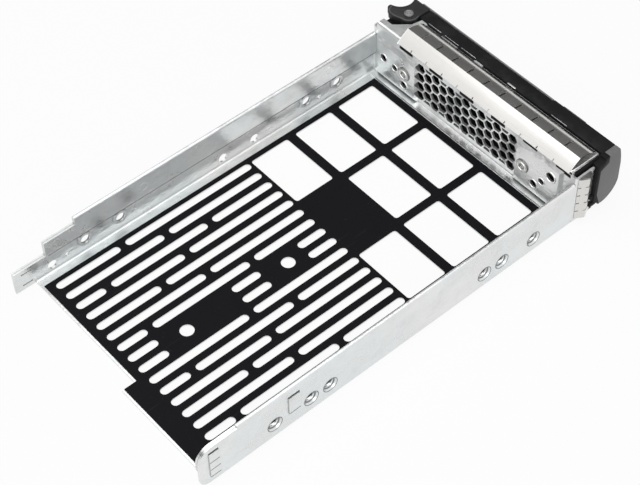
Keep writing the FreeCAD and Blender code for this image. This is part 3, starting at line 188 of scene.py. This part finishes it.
# ---------------------------------------------------------------- finishes
def zinc_sheet(name, bright, rough, streak_axis):
    """Semi-bright zinc-coated sheet: spangle, rolling streaks, waves, and painted shade darkening
    its corners.
    """
    made = Finish(name, Metallic=0.84, IOR=1.8)
    fine = (900, 24, 900) if streak_axis == "Y" else (24, 900, 900)
    streak = made.noise(1.0, 4, 0.6, made.stretched(*fine))
    spangle = made.spangle(260)
    cloud = made.noise(38, 4, 0.55)
    blotch = made.noise(1.0, 4, 0.62, made.stretched(70, 55, 120)).band(0.36, 0.66)
    smudge = made.noise(90, 5, 0.65).band(0.5, 0.72)
    scratch = made.noise(1.0, 2, 0.4, made.stretched(60, 700, 1200)).band(0.66, 0.74)
    # Painted shade: ambient occlusion darkens and roughens the colour in corners, creases and under
    # edges.
    corner_shade = (1.0 - made.openness(1.6 * MM)).band(0.18, 0.85)
    shade = cloud * 0.35 + spangle * 0.2 + streak * 0.2 + blotch * 0.25
    cool = tuple(c * k for c, k in zip(bright, (0.93, 0.985, 1.0)))
    tint = blend_colour(made.tree, made.noise(24, 3, 0.5).band(0.42, 0.6), bright, cool)
    colour = blend_colour(made.tree, shade, scaled(bright, 0.80), tint)
    colour = blend_colour(made.tree, smudge * 0.2, colour, scaled(bright, 0.55))
    colour = blend_colour(made.tree, corner_shade * 0.75, colour, (0.10, 0.10, 0.10))
    made.feed("Base Color", colour)
    made.feed("Roughness",
              rough + (shade - 0.5) * 0.2 + smudge * 0.1 + scratch * 0.06 + corner_shade * 0.15)
    height = streak * 0.35 + spangle * 0.25 + cloud * 0.4
    waves = made.bump(cloud * 0.5 + blotch * 0.5, 0.3, 0.9 * MM)
    made.feed("Normal", made.bump(height - scratch * 0.5, 0.2, 0.06 * MM, waves))
    return made.material


def spring_sheet(name):
    """Bright drawn spring sheet with fine brushing across the fingers."""
    made = Finish(name, Metallic=1.0)
    brush = made.noise(1.0, 3, 0.6, made.stretched(40, 2400, 2400))
    cloud = made.noise(55, 3)
    made.feed("Base Color", blend_colour(made.tree, brush * 0.5 + cloud * 0.5,
                                         (0.60, 0.59, 0.57), (0.77, 0.762, 0.74)))
    made.feed("Roughness", 0.12 + brush * 0.09 + cloud * 0.05)
    made.feed("Normal", made.bump(brush, 0.10, 0.04 * MM))
    return made.material


def film_sheet(name):
    """Near-black insulating film: satin, faint matt grain, dust and hair scratches."""
    made = Finish(name, IOR=1.46, Specular_IOR_Level=0.06)
    grain = made.noise(2600, 2, 0.6)
    cloud = made.noise(30, 4, 0.6)
    dust = made.noise(1500, 1, 0.3).band(0.74, 0.8)
    hair = made.noise(1.0, 2, 0.4, made.stretched(1500, 40, 900)).band(0.68, 0.75)
    colour = blend_colour(made.tree, cloud * 0.6 + grain * 0.4,
                          (0.0065, 0.0065, 0.008), (0.0105, 0.0105, 0.0125))
    colour = blend_colour(made.tree, dust * 0.10 + hair * 0.05, colour, (0.16, 0.16, 0.16))
    made.feed("Base Color", colour)
    made.feed("Roughness", 0.46 + cloud * 0.12 + grain * 0.06 - hair * 0.08)
    made.feed("Normal", made.bump(grain + cloud * 2.0, 0.12, 0.05 * MM))
    return made.material


def moulded(name, colour, rough, gloss=0.3):
    """Moulded plastic with a spark-eroded grain, cloudy gloss, and outer edges lightened for rubbed
    wear and a painted edge highlight.
    """
    made = Finish(name, IOR=1.5, Specular_IOR_Level=gloss)
    grain = made.noise(1900, 3, 0.6)
    cloud = made.noise(60, 4, 0.55)
    base = blend_colour(made.tree, cloud * 0.6 + grain * 0.4,
                        scaled(colour, 0.8), scaled(colour, 1.35, 0.002))
    # Lighter outer edges: partly rubbed wear, partly a painted highlight where the edges catch the
    # light.
    rub_and_edge_highlight = made.pointiness().band(0.53, 0.62) * made.noise(220, 4, 0.6).band(0.42, 0.62)
    made.feed("Base Color", blend_colour(made.tree, rub_and_edge_highlight * 0.5, base, scaled(colour, 1.8, 0.02)))
    made.feed("Roughness", rough + (cloud - 0.5) * 0.14 + grain * 0.06 - rub_and_edge_highlight * 0.08)
    made.feed("Normal", made.bump(grain, 0.30, 0.06 * MM))
    return made.material


def plain_steel(name, colour, rough, turned=False):
    """Turned or drawn steel of the small fastenings."""
    made = Finish(name, Metallic=1.0)
    grain = (3000, 3000, 500) if turned else (2200, 2200, 2200)
    ring = made.noise(1.0, 3, 0.6, made.stretched(*grain))
    cloud = made.noise(240, 3)
    made.feed("Base Color", blend_colour(made.tree, ring * 0.5 + cloud * 0.5,
                                         scaled(colour, 0.75), colour))
    made.feed("Roughness", rough + cloud * 0.12)
    made.feed("Normal", made.bump(ring, 0.15, 0.03 * MM))
    return made.material


def milky_pipe(name):
    """Milky light pipe, closed to light."""
    made = Finish(name, IOR=1.58)
    milk = made.noise(700, 3)
    made.feed("Base Color", blend_colour(made.tree, milk, (0.50, 0.52, 0.50), (0.70, 0.72, 0.70)))
    made.feed("Roughness", 0.16 + milk * 0.1)
    return made.material


ZINC = (0.86, 0.865, 0.86)
FINISHES = {
    "tray_steel": zinc_sheet("zinc_tray", ZINC, 0.30, "Y"),
    "frame_steel": zinc_sheet("zinc_front", ZINC, 0.30, "X"),
    "spring_steel": spring_sheet("spring_strip"),
    "film": film_sheet("insulating_film"),
    "bezel_black": moulded("bezel_black", (0.0105, 0.0105, 0.011), 0.5, gloss=0.08),
    "cap_grey": moulded("cap_grey", (0.15, 0.15, 0.153), 0.5),
    "lever_dark": moulded("lever_dark", (0.026, 0.026, 0.027), 0.42, gloss=0.26),
    "fascia_grey": moulded("fascia_grey", (0.23, 0.23, 0.235), 0.46),
    "button_grey": moulded("button_grey", (0.165, 0.165, 0.17), 0.48),
    "pin_steel": plain_steel("pin_steel", (0.62, 0.62, 0.61), 0.26, turned=True),
    "wire_steel": plain_steel("spring_wire", (0.5, 0.5, 0.5), 0.3),
    "rivet_steel": plain_steel("rivet_steel", (0.62, 0.62, 0.6), 0.32, turned=True),
    "light_pipe": milky_pipe("light_pipe"),
}
# Dark steel for painted shade: rings, dots and lines put where shade falls in holes, slits, gaps
# and round heads.
SHADE_STEEL = plain_steel("painted_shade_steel", (0.30, 0.30, 0.30), 0.42)
# Bright steel for painted highlights on hole rims, rivet heads and the strip's foot.
HIGHLIGHT_STEEL = plain_steel("painted_highlight_steel", (0.95, 0.95, 0.94), 0.22)
# Lighter grey plastic for the painted highlight along the claw's rim.
RIM_HIGHLIGHT = moulded("painted_rim_highlight", (0.13, 0.13, 0.13), 0.4)

NODE_SLOT = {row["node"]: row["material_slot"] for row in frame["record"]["subparts"]}
NODE_BODY = {name: body for body, names in frame["record"]["behaviour"]["bodies"].items()
             for name in names}


# ---------------------------------------------------------------- making and finishing pieces
def placed(name, data):
    """A new object in the scene."""
    thing = bpy.data.objects.new(name, data)
    bpy.context.scene.collection.objects.link(thing)
    return thing


def mesh_of(form, name):
    """Turn a bmesh into a mesh, and free it."""
    mesh = bpy.data.meshes.new(name)
    form.to_mesh(mesh)
    form.free()
    return mesh


def flattened(thing):
    """The mesh of an object as its modifiers or its curve's bevel make it."""
    seen = thing.evaluated_get(bpy.context.evaluated_depsgraph_get())
    return bpy.data.meshes.new_from_object(seen)


def apply_modifiers(thing):
    """Turn a modified object into a plain mesh, its modifiers removed."""
    mesh = flattened(thing)
    thing.modifiers.clear()
    thing.data = mesh


def paint(thing, material):
    thing.data.materials.clear()
    thing.data.materials.append(material)


def finish_piece(thing, slot, body, material=None, smooth=40):
    """Shade, paint and hang a piece on its body; faces stay smooth below an angle in degrees."""
    thing.data.shade_smooth()
    thing.data.set_sharp_from_angle(angle=math.radians(smooth))
    paint(thing, material or FINISHES[slot])
    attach(thing, body)


for name, thing in frame["nodes"].items():
    paint(thing, FINISHES[NODE_SLOT[name]])


def dressed(name, width):
    """A copy of a CAD node with its edges rounded, standing for it."""
    form = bmesh.new()
    form.from_mesh(frame["nodes"][name].data)
    bmesh.ops.remove_doubles(form, verts=form.verts, dist=0.002 * MM)
    bmesh.ops.dissolve_limit(form, angle_limit=math.radians(0.6), verts=form.verts,
                             edges=form.edges)
    thing = placed(name + "_dressed", mesh_of(form, name + "_dressed"))
    edge = thing.modifiers.new("edge", "BEVEL")
    edge.width = width * MM
    edge.segments = 2
    edge.limit_method = "ANGLE"
    edge.angle_limit = math.radians(32)
    edge.use_clamp_overlap = False
    edge.miter_outer = "MITER_ARC"
    apply_modifiers(thing)
    finish_piece(thing, NODE_SLOT[name], NODE_BODY[name])
    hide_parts(name)


# ---------------------------------------------------------------- straight pieces and beads
CRISP = 0.04        # rounding of the thinnest pieces
AXIS_ORDER = {"X": lambda u, v, w: (w, u, v), "Y": lambda u, v, w: (u, w, v),
              "Z": lambda u, v, w: (u, v, w)}


def prism(name, outline, low, high, axis, slot, soft=0.12, material=None):
    """A straight piece of the caddy: an outline swept along one axis, its edges rounded."""
    order = AXIS_ORDER[axis]
    form = bmesh.new()
    ends = [[form.verts.new([c * MM for c in order(u, v, level)]) for u, v in outline]
            for level in (low, high)]
    for end in ends:
        form.faces.new(end)
    for number in range(len(outline)):
        after = (number + 1) % len(outline)
        form.faces.new((ends[0][number], ends[0][after], ends[1][after], ends[1][number]))
    bmesh.ops.recalc_face_normals(form, faces=form.faces)
    thing = placed(name, mesh_of(form, name))
    edge = thing.modifiers.new("edge", "BEVEL")
    edge.width, edge.segments, edge.limit_method = soft * MM, 2, "ANGLE"
    apply_modifiers(thing)
    finish_piece(thing, slot, "caddy", material)


def bar(name, across, up, along, axis, slot, soft=CRISP, material=None):
    """A prism with a rectangular outline, each side given by its two ends."""
    (left, right), (foot, top) = across, up
    prism(name, [(left, foot), (right, foot), (right, top), (left, top)], *along, axis, slot,
          soft, material)


def bead(name, line, radius, slot, body, material):
    """A round bead along a line."""
    curve = bpy.data.curves.new(name, "CURVE")
    curve.dimensions = "3D"
    curve.bevel_depth, curve.bevel_resolution, curve.use_fill_caps = radius * MM, 2, True
    spline = curve.splines.new("POLY")
    spline.points.add(len(line) - 1)
    for point, place in zip(spline.points, line):
        point.co = (*[c * MM for c in place], 1)
    guide = placed(name + "_line", curve)
    mesh = flattened(guide)
    bpy.data.objects.remove(guide)
    finish_piece(placed(name, mesh), slot, body, material)


# ---------------------------------------------------------------- rings at holes, rivets and pin
def ring_tree():
    """Rings on the points of a mesh, each scaled by its own size with a little play."""
    tree = bpy.data.node_groups.new("rings", "GeometryNodeTree")
    for way in ("OUTPUT", "INPUT"):
        tree.interface.new_socket("Geometry", in_out=way, socket_type="NodeSocketGeometry")
    for label, kind, value in (
            ("Wire", "Float", 0.1), ("Flat", "Float", 0.5), ("Play", "Float", 0.02),
            ("Seed", "Int", 7), ("Turn", "Vector", (0, 0, 0)), ("Finish", "Material", None)):
        socket = tree.interface.new_socket(label, in_out="INPUT", socket_type="NodeSocket" + kind)
        if value is not None:
            socket.default_value = value
    given = node(tree, "NodeGroupInput")
    path = node(tree, "GeometryNodeCurvePrimitiveCircle", {},
                {"Resolution": 48, "Radius": 1.0})["Curve"]
    section = node(tree, "GeometryNodeCurvePrimitiveCircle", {},
                   {"Resolution": 8, "Radius": given["Wire"]})["Curve"]
    ring = node(tree, "GeometryNodeCurveToMesh", {},
                {"Curve": path, "Profile Curve": section})["Mesh"]
    squash = node(tree, "ShaderNodeCombineXYZ", {}, {"X": 1.0, "Y": 1.0, "Z": given["Flat"]})[0]
    flat = node(tree, "GeometryNodeTransform", {}, {"Geometry": ring, "Scale": squash})["Geometry"]
    size = node(tree, "GeometryNodeInputNamedAttribute", dict(data_type="FLOAT"),
                {"Name": "size"})["Attribute"]
    play_min, play_max = 2, 3    # the float limits of a Random Value node
    play = node(tree, "FunctionNodeRandomValue", dict(data_type="FLOAT"),
                {play_min: 1.0, play_max: given["Play"] + 1.0, "Seed": given["Seed"]})[1]
    points = node(tree, "GeometryNodeMeshToPoints", {}, {"Mesh": given["Geometry"]})["Points"]
    turn = node(tree, "FunctionNodeEulerToRotation", {}, {"Euler": given["Turn"]})["Rotation"]
    copies = node(tree, "GeometryNodeInstanceOnPoints", {}, {
        "Points": points, "Instance": flat, "Rotation": turn, "Scale": size * play})["Instances"]
    solid = node(tree, "GeometryNodeRealizeInstances", {}, {"Geometry": copies})["Geometry"]
    painted = node(tree, "GeometryNodeSetMaterial", {},
                   {"Geometry": solid, "Material": given["Finish"]})["Geometry"]
    node(tree, "NodeGroupOutput", {}, {0: painted})
    return tree


RINGS = ring_tree()
FACING = {"X": (0, math.pi / 2, 0), "Y": (math.pi / 2, 0, 0), "Z": (0, 0, 0)}


def rings(name, places, axis, slot, wire, flat, material=None):
    """Rings at (x, y, z, radius), round one axis; wire and flat are shares of the radius."""
    mesh = bpy.data.meshes.new(name)
    mesh.from_pydata([[c * MM for c in place[:3]] for place in places], [], [])
    sizes = mesh.attributes.new("size", "FLOAT", "POINT")
    sizes.data.foreach_set("value", [place[3] * MM for place in places])
    thing = placed(name, mesh)
    copies = thing.modifiers.new("copies", "NODES")
    copies.node_group = RINGS
    finish = material or FINISHES[slot]
    given = {"Wire": wire, "Flat": flat, "Turn": FACING[axis], "Finish": finish}
    for item in RINGS.interface.items_tree:
        if item.in_out == "INPUT" and item.name in given:
            copies[item.identifier] = given[item.name]
    apply_modifiers(thing)
    finish_piece(thing, slot, "caddy", finish)


WALL = 52.6                     # outer face of the side walls
HEM = 50.9                      # inner face of their hems
HOLE_Z = 7.45                   # drive's screw holes above the ground
HOLE_FRONT, HOLE_SHIFT, HOLE_SPAN = 18.45, 15.3, 101.6
DRIVE_HOLES = [HOLE_FRONT + span + shift for span in (0, HOLE_SPAN) for shift in (0, HOLE_SHIFT)]
SPARE_HOLES = [42.1, 111.95]    # in the left wall only
SINK_R, THROAT_R, THROAT_IN = 3.0, 2.15, 0.75
PAD_HOLES = ((45.3, 12.3, 1.6), (34.1, 6.2, 1.6), (39.2, 11.4, 1.3),
             (-34.3, 7.4, 1.6), (-41.8, 16.9, 1.9), (-37.8, 11.3, 1.3))
RIVETS = ((33.9, 12.0), (-28.4, 12.0))
PIN = (46.0, -13.2)
CLAW_TOP = 26.2


def side_rings(inward, radius):
    """Places of the rings in both walls: the left one with its spare holes, then the right one."""
    return ([(inward - WALL, y, HOLE_Z, radius) for y in DRIVE_HOLES + SPARE_HOLES]
            + [(WALL - inward, y, HOLE_Z, radius) for y in DRIVE_HOLES])


def rivet_places(out, radius):
    return [(x, out, z, radius) for x, z in RIVETS]


# Dark rings are painted shade in the countersinks, the hole throats and round the rivet heads and
# pin; bright rings are painted highlights on the pad-hole rims and rivet heads.
rings("sink_rim_shade", side_rings(0, SINK_R), "X", "tray_steel", 0.05, 0.6, SHADE_STEEL)
rings("sink_throat_shade", side_rings(THROAT_IN, THROAT_R), "X", "tray_steel", 0.12, 0.8, SHADE_STEEL)
rings("pad_hole_rim_highlights", [(x, 0.0, z, radius + 0.32) for x, z, radius in PAD_HOLES], "Y",
      "frame_steel", 0.15, 0.8, HIGHLIGHT_STEEL)
rings("rivet_edge_shade", rivet_places(0.25, 2.7), "Y", "rivet_steel", 0.06, 1.0, SHADE_STEEL)
rings("rivet_ring_highlights", rivet_places(0.5, 1.75), "Y", "rivet_steel", 0.17, 0.9, HIGHLIGHT_STEEL)
rings("rivet_throat_shade", rivet_places(0.46, 1.15), "Y", "rivet_steel", 0.10, 1.0, SHADE_STEEL)
rings("pin_ring_shade", [(*PIN, CLAW_TOP + 0.22, 1.55)], "Z", "pin_steel", 0.16, 0.8, SHADE_STEEL)
rings("pin_dimple_shade", [(*PIN, CLAW_TOP + 0.2, 0.55)], "Z", "pin_steel", 0.3, 0.5, SHADE_STEEL)
rings("wall_marks", [(HEM, 108.9, 15.4, 1.7), (HEM, 21.8, 16.0, 1.7)], "X", "tray_steel", 0.06,
      0.8)

# ---------------------------------------------------------------- trim, painted shade and painted highlights on the lever, bezel and tray
CLAW_EDGE = [(42.6, -15.0), (42.3, -13.2), (42.8, -11.35), (44.15, -10.0), (46.0, -9.5),
             (49.2, -8.5), (51.3, -8.5), (52.8, -9.6), (53.6, -11.4)]
# Painted highlight: a lighter bead along the claw's edge stands for the light its bevel catches.
bead("claw_rim_highlight", [(x, y, CLAW_TOP - 0.04) for x, y in CLAW_EDGE], 0.15, "lever_dark", "lever_arm",
     RIM_HIGHLIGHT)

# Black end of the bezel that shows behind the grey cap, with its two snap hooks.
prism("bezel_end", [(-13.9, 26.24), (-16.0, 26.24), (-16.0, 22.8), (-12.1, 21.0), (-11.9, 8.7),
                    (-13.5, 4.2), (-13.7, 2.7), (-12.7, 4.15), (-10.44, 6.0), (-10.44, 24.46),
                    (-13.1, 24.5), (-13.8, 25.2)], -54.05, -51.1, "X", "bezel_black")
prism("upper_snap_hook", [(-11.2, 9.4), (-9.0, 9.2), (-8.6, 8.2), (-9.4, 7.6), (-11.2, 7.2)],
      -53.5, -52.65, "X", "bezel_black")
prism("lower_snap_hook", [(-12.6, 5.2), (-9.6, 5.4), (-8.9, 4.2), (-9.6, 3.6), (-12.4, 3.6)],
      -53.6, -52.65, "X", "bezel_black")

# Dark bars as painted shade in the slits of the stamped bridges in the left wall. BRIDGES holds
# front and rear end, then the height of each slit.
BRIDGES = ((124.8, 129.6, (8.2,)), (157.9, 161.9, (12.1, 8.2, 4.6)))
SLIT_HIGH = 0.4
for number, (front, rear, levels) in enumerate(BRIDGES):
    for level in levels:
        bar(f"lance_slit_shade_{number}_{level:.0f}", (front, rear), (level, level + SLIT_HIGH),
            (-53.14, -53.0), "X", "tray_steel", material=SHADE_STEEL)

# Dark line in the gap under each wall's hem.
HEM_ENDS, HEM_FOOT = (-1.0, 150.5), 10.72
for side, name in ((1, "right"), (-1, "left")):
    bar(f"hem_shadow_{name}", HEM_ENDS, (HEM_FOOT - 0.36, HEM_FOOT),
        (side * (HEM - 0.05), side * (HEM + 0.3)), "X", "tray_steel", material=SHADE_STEEL)

# Painted highlight on the foot of the strip's left end, and dark bars as painted shade in the clip
# slots under every second finger.
FLANGE_TOP = 26.0               # top face of the front wall's flange
FINGERS, FINGER_PITCH = 11, 8.05
STRIP_LEFT = -49.95
bar("strip_foot_highlight", (-13.4, -0.3), (FLANGE_TOP, FLANGE_TOP + 0.3), (-50.2, -49.8), "X",
    "spring_steel", soft=0.05, material=HIGHLIGHT_STEEL)
for number in range(0, FINGERS, 2):
    left = STRIP_LEFT + 0.35 + FINGER_PITCH * number
    bar(f"clip_slot_shade_{number}", (left, left + 7.0), (21.9, 23.3), (-1.3, -1.1), "Y", "bezel_black")

# Seam between the flange and the bezel: a dark bar as painted shade in its gap, the slots' lit
# edges and one tab.
SEAM_Y = -14.95
SEAM_EDGES = ((30.2, 37.0), (21.0, 28.4), (12.0, 19.6), (-34.0, -26.5))
bar("seam_gap_shade", (11.5, 37.4), (SEAM_Y, -14.3), (25.9, 26.24), "Z", "bezel_black", soft=0.05)
for number, ends in enumerate(SEAM_EDGES):
    bar(f"seam_line_{number}", ends, (SEAM_Y - 0.17, SEAM_Y), (26.1, 26.34), "Z", "frame_steel")
bar("seam_tab", (-8.8, -4.8), (-15.15, -14.5), (26.1, 26.4), "Z", "frame_steel", soft=0.06)


# ---------------------------------------------------------------- spring strip
CREST_Y, CREST_Z = -5.0, 29.5
REAR_Y, REAR_Z = 0.3, 25.5
FRONT_Y, FRONT_Z, FOOT_Y = -13.5, 26.2, -13.8
SLIT_REAR, SLIT_FRONT = -5.1, -8.9      # the slits between two fingers
NOTCH_FRONT = -0.5                      # the notches in the strip's rear edge
CROWN = 0.10                            # drop of a finger's edges below its middle
STRIP_THICK = 0.2
END_SHORT = 0.9                         # right end of the strip short of a full pitch
ACROSS = (0.0, 0.24, 0.8, 2.2, 4.025, 5.85, 7.25, 7.81)     # columns of vertices in one finger


def strip_section():
    """Section as (y, z): a short lip, a ramp up to the crest, then an arc down to the front."""
    lip = [(REAR_Y - 0.12, REAR_Z - 0.16), (REAR_Y, REAR_Z)]
    ramp = [(REAR_Y + (CREST_Y - REAR_Y) * t,
             REAR_Z + (CREST_Z - REAR_Z) * (t + 0.02 * math.sin(math.pi * t)))
            for t in (0.165, 0.33, 0.5, 0.66, 0.82, 0.93)]
    drop, reach, steps = CREST_Z - FRONT_Z, CREST_Y - FRONT_Y, 14
    radius = (reach ** 2 + drop ** 2) / (2 * drop)
    turns = [math.asin(reach / radius) * step / steps for step in range(steps + 1)]
    arc = [(CREST_Y - radius * math.sin(turn), CREST_Z - radius * (1 - math.cos(turn)))
           for turn in turns]
    return lip + ramp + arc + [(FOOT_Y, FRONT_Z - 0.18)]


def off_middle(x):
    """0 at the middle of a finger, 1 at its two edges."""
    return abs((x - STRIP_LEFT) / FINGER_PITCH % 1 - 0.5) * 2


def is_slit(y):
    return SLIT_FRONT <= y <= SLIT_REAR


def spring_strip():
    """Crowned fingers in one sheet: slit past the crest, notched at the rear edge."""
    name = "top_spring_strip"
    line = strip_section()
    columns = [STRIP_LEFT + number * FINGER_PITCH + u for number in range(FINGERS) for u in ACROSS]
    columns = columns[1:-1] + [STRIP_LEFT + FINGERS * FINGER_PITCH - END_SHORT]
    form = bmesh.new()
    grid = []
    for y, z in line:
        crown = CROWN if is_slit(y) else 0.0
        grid.append([form.verts.new((x * MM, y * MM, (z - crown * off_middle(x) ** 4) * MM))
                     for x in columns])
    last = len(columns) - 2
    for row in range(len(line) - 1):
        y = (line[row][0] + line[row + 1][0]) / 2
        for column in range(last + 1):
            x = (columns[column] + columns[column + 1]) / 2
            between = off_middle(x) > 0.95 and 0 < column < last
            if between and (is_slit(y) or y >= NOTCH_FRONT):
                continue
            form.faces.new((grid[row][column], grid[row + 1][column],
                            grid[row + 1][column + 1], grid[row][column + 1]))
    for vert in [vert for vert in form.verts if not vert.link_faces]:
        form.verts.remove(vert)
    bmesh.ops.recalc_face_normals(form, faces=form.faces)
    if sum(face.normal.z for face in form.faces) < 0:
        bmesh.ops.reverse_faces(form, faces=form.faces)
    thing = placed(name + "_dressed", mesh_of(form, name + "_dressed"))
    sheet = thing.modifiers.new("sheet", "SOLIDIFY")
    sheet.thickness, sheet.offset = STRIP_THICK * MM, -1.0
    apply_modifiers(thing)
    finish_piece(thing, NODE_SLOT[name], NODE_BODY[name], smooth=32)
    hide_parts(name)


spring_strip()

SOFT_EDGES = {"bezel_housing": 0.25, "end_cap": 0.45, "lever": 0.3, "lever_fascia": 0.25,
              "release_button": 0.3}
for name, width in SOFT_EDGES.items():
    dressed(name, width)


# ---------------------------------------------------------------- room, light and camera
ROOM_LIGHT = 0.38       # strength of the world as a light; rays that look at it see 1
FLOOR_GLOW = 0.9        # share of plain white in the floor where a ray looks at it
FLOOR_GREY = 0.86
FLOOR_HALF = 1.6
CARD_GREY = 0.2


def soft_light(name, place, towards, wide, high, power):
    lamp = bpy.data.lights.new(name, "AREA")
    lamp.shape, lamp.size, lamp.size_y, lamp.energy = "RECTANGLE", wide, high, power
    thing = placed(name, lamp)
    thing.location = place
    thing.rotation_mode = "QUATERNION"
    thing.rotation_quaternion = (Vector(towards) - Vector(place)).to_track_quat("-Z", "Y")


def seen_rays(path):
    """1 for rays that show the background: camera, mirror and glass rays."""
    mirrored = path["Is Glossy Ray"].math("MAXIMUM", path["Is Transmission Ray"])
    return path["Is Camera Ray"].math("MAXIMUM", mirrored)


def matt(tree, grey):
    return node(tree, "ShaderNodeBsdfDiffuse", {}, {"Color": (grey, grey, grey, 1)})[0]


def stage_sheet(name, corners, surface):
    """A four-cornered sheet of the stage; surface takes a shader tree and returns its shader."""
    material = bpy.data.materials.new(name)
    material.use_nodes = True
    tree = material.node_tree
    tree.nodes.remove(tree.nodes["Principled BSDF"])
    tree.links.new(surface(tree).socket, tree.nodes["Material Output"].inputs["Surface"])
    mesh = bpy.data.meshes.new(name)
    mesh.from_pydata(corners, [], [(0, 1, 2, 3)])
    mesh.materials.append(material)
    sheet = placed(name, mesh)
    sheet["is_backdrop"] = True
    return sheet


def card_surface(tree):
    """Matt grey to glossy rays and clear to all others."""
    path = node(tree, "ShaderNodeLightPath")
    clear = node(tree, "ShaderNodeBsdfTransparent")[0]
    return node(tree, "ShaderNodeMixShader", {},
                {0: path["Is Glossy Ray"], 1: clear, 2: matt(tree, CARD_GREY)})[0]


def floor_surface(tree):
    """Matt, so that it keeps the shadow, with white mixed in for the rays that look at it."""
    path = node(tree, "ShaderNodeLightPath")
    glow = node(tree, "ShaderNodeEmission", {}, {"Color": (1, 1, 1, 1), "Strength": 1.0})[0]
    return node(tree, "ShaderNodeMixShader", {},
                {0: seen_rays(path) * FLOOR_GLOW, 1: matt(tree, FLOOR_GREY), 2: glow})[0]


def light_world():
    """White where the camera or a reflection looks, plain light elsewhere."""
    world = bpy.data.worlds.new("studio")
    bpy.context.scene.world = world
    world.use_nodes = True
    tree = world.node_tree
    back = tree.nodes["Background"]
    back.inputs["Color"].default_value = (1, 1, 1, 1)
    strength = ROOM_LIGHT + seen_rays(node(tree, "ShaderNodeLightPath")) * (1 - ROOM_LIGHT)
    tree.links.new(strength.socket, back.inputs["Strength"])


def add_camera():
    """Long lens above the caddy's rear left corner."""
    lens = bpy.data.cameras.new("view")
    lens.lens, lens.sensor_width = 95.94, 36
    thing = placed("view", lens)
    turn = Matrix(((-0.65338, 0.57338, -0.49430),
                   (-0.75687, -0.50806, 0.41112),
                   (-0.01541, 0.64273, 0.76593)))
    thing.matrix_world = Matrix.Translation((-0.298, 0.319, 0.462)) @ turn.to_4x4()
    bpy.context.scene.camera = thing


light_world()
floor = stage_sheet("floor", [(-FLOOR_HALF, -FLOOR_HALF, 0), (FLOOR_HALF, -FLOOR_HALF, 0),
                              (FLOOR_HALF, FLOOR_HALF, 0), (-FLOOR_HALF, FLOOR_HALF, 0)],
                    floor_surface)
floor.location.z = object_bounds()[0].z - 0.2 * MM
# Grey cards outside the view, which the metal reflects.
stage_sheet("rear_card", [(-0.05, 0.72, 0.10), (0.95, 0.62, 0.10), (0.95, 0.62, 0.56),
                          (-0.05, 0.72, 0.56)], card_surface)
stage_sheet("front_card", [(-0.10, -0.50, 0.06), (1.05, -0.50, 0.06), (1.05, -0.44, 0.84),
                           (-0.10, -0.44, 0.84)], card_surface)
soft_light("top_box", (0.0, 0.12, 0.9), (0, 0.06, 0), 1.1, 0.9, 4.6)
soft_light("rear_box", (-0.7, 0.75, 0.55), (0, 0.06, 0), 1.0, 0.8, 4.2)
soft_light("right_box", (0.60, 0.56, 0.85), (0, 0, 0), 0.8, 0.7, 0.25)
add_camera()
bpy.context.scene.view_settings.view_transform = "Standard"
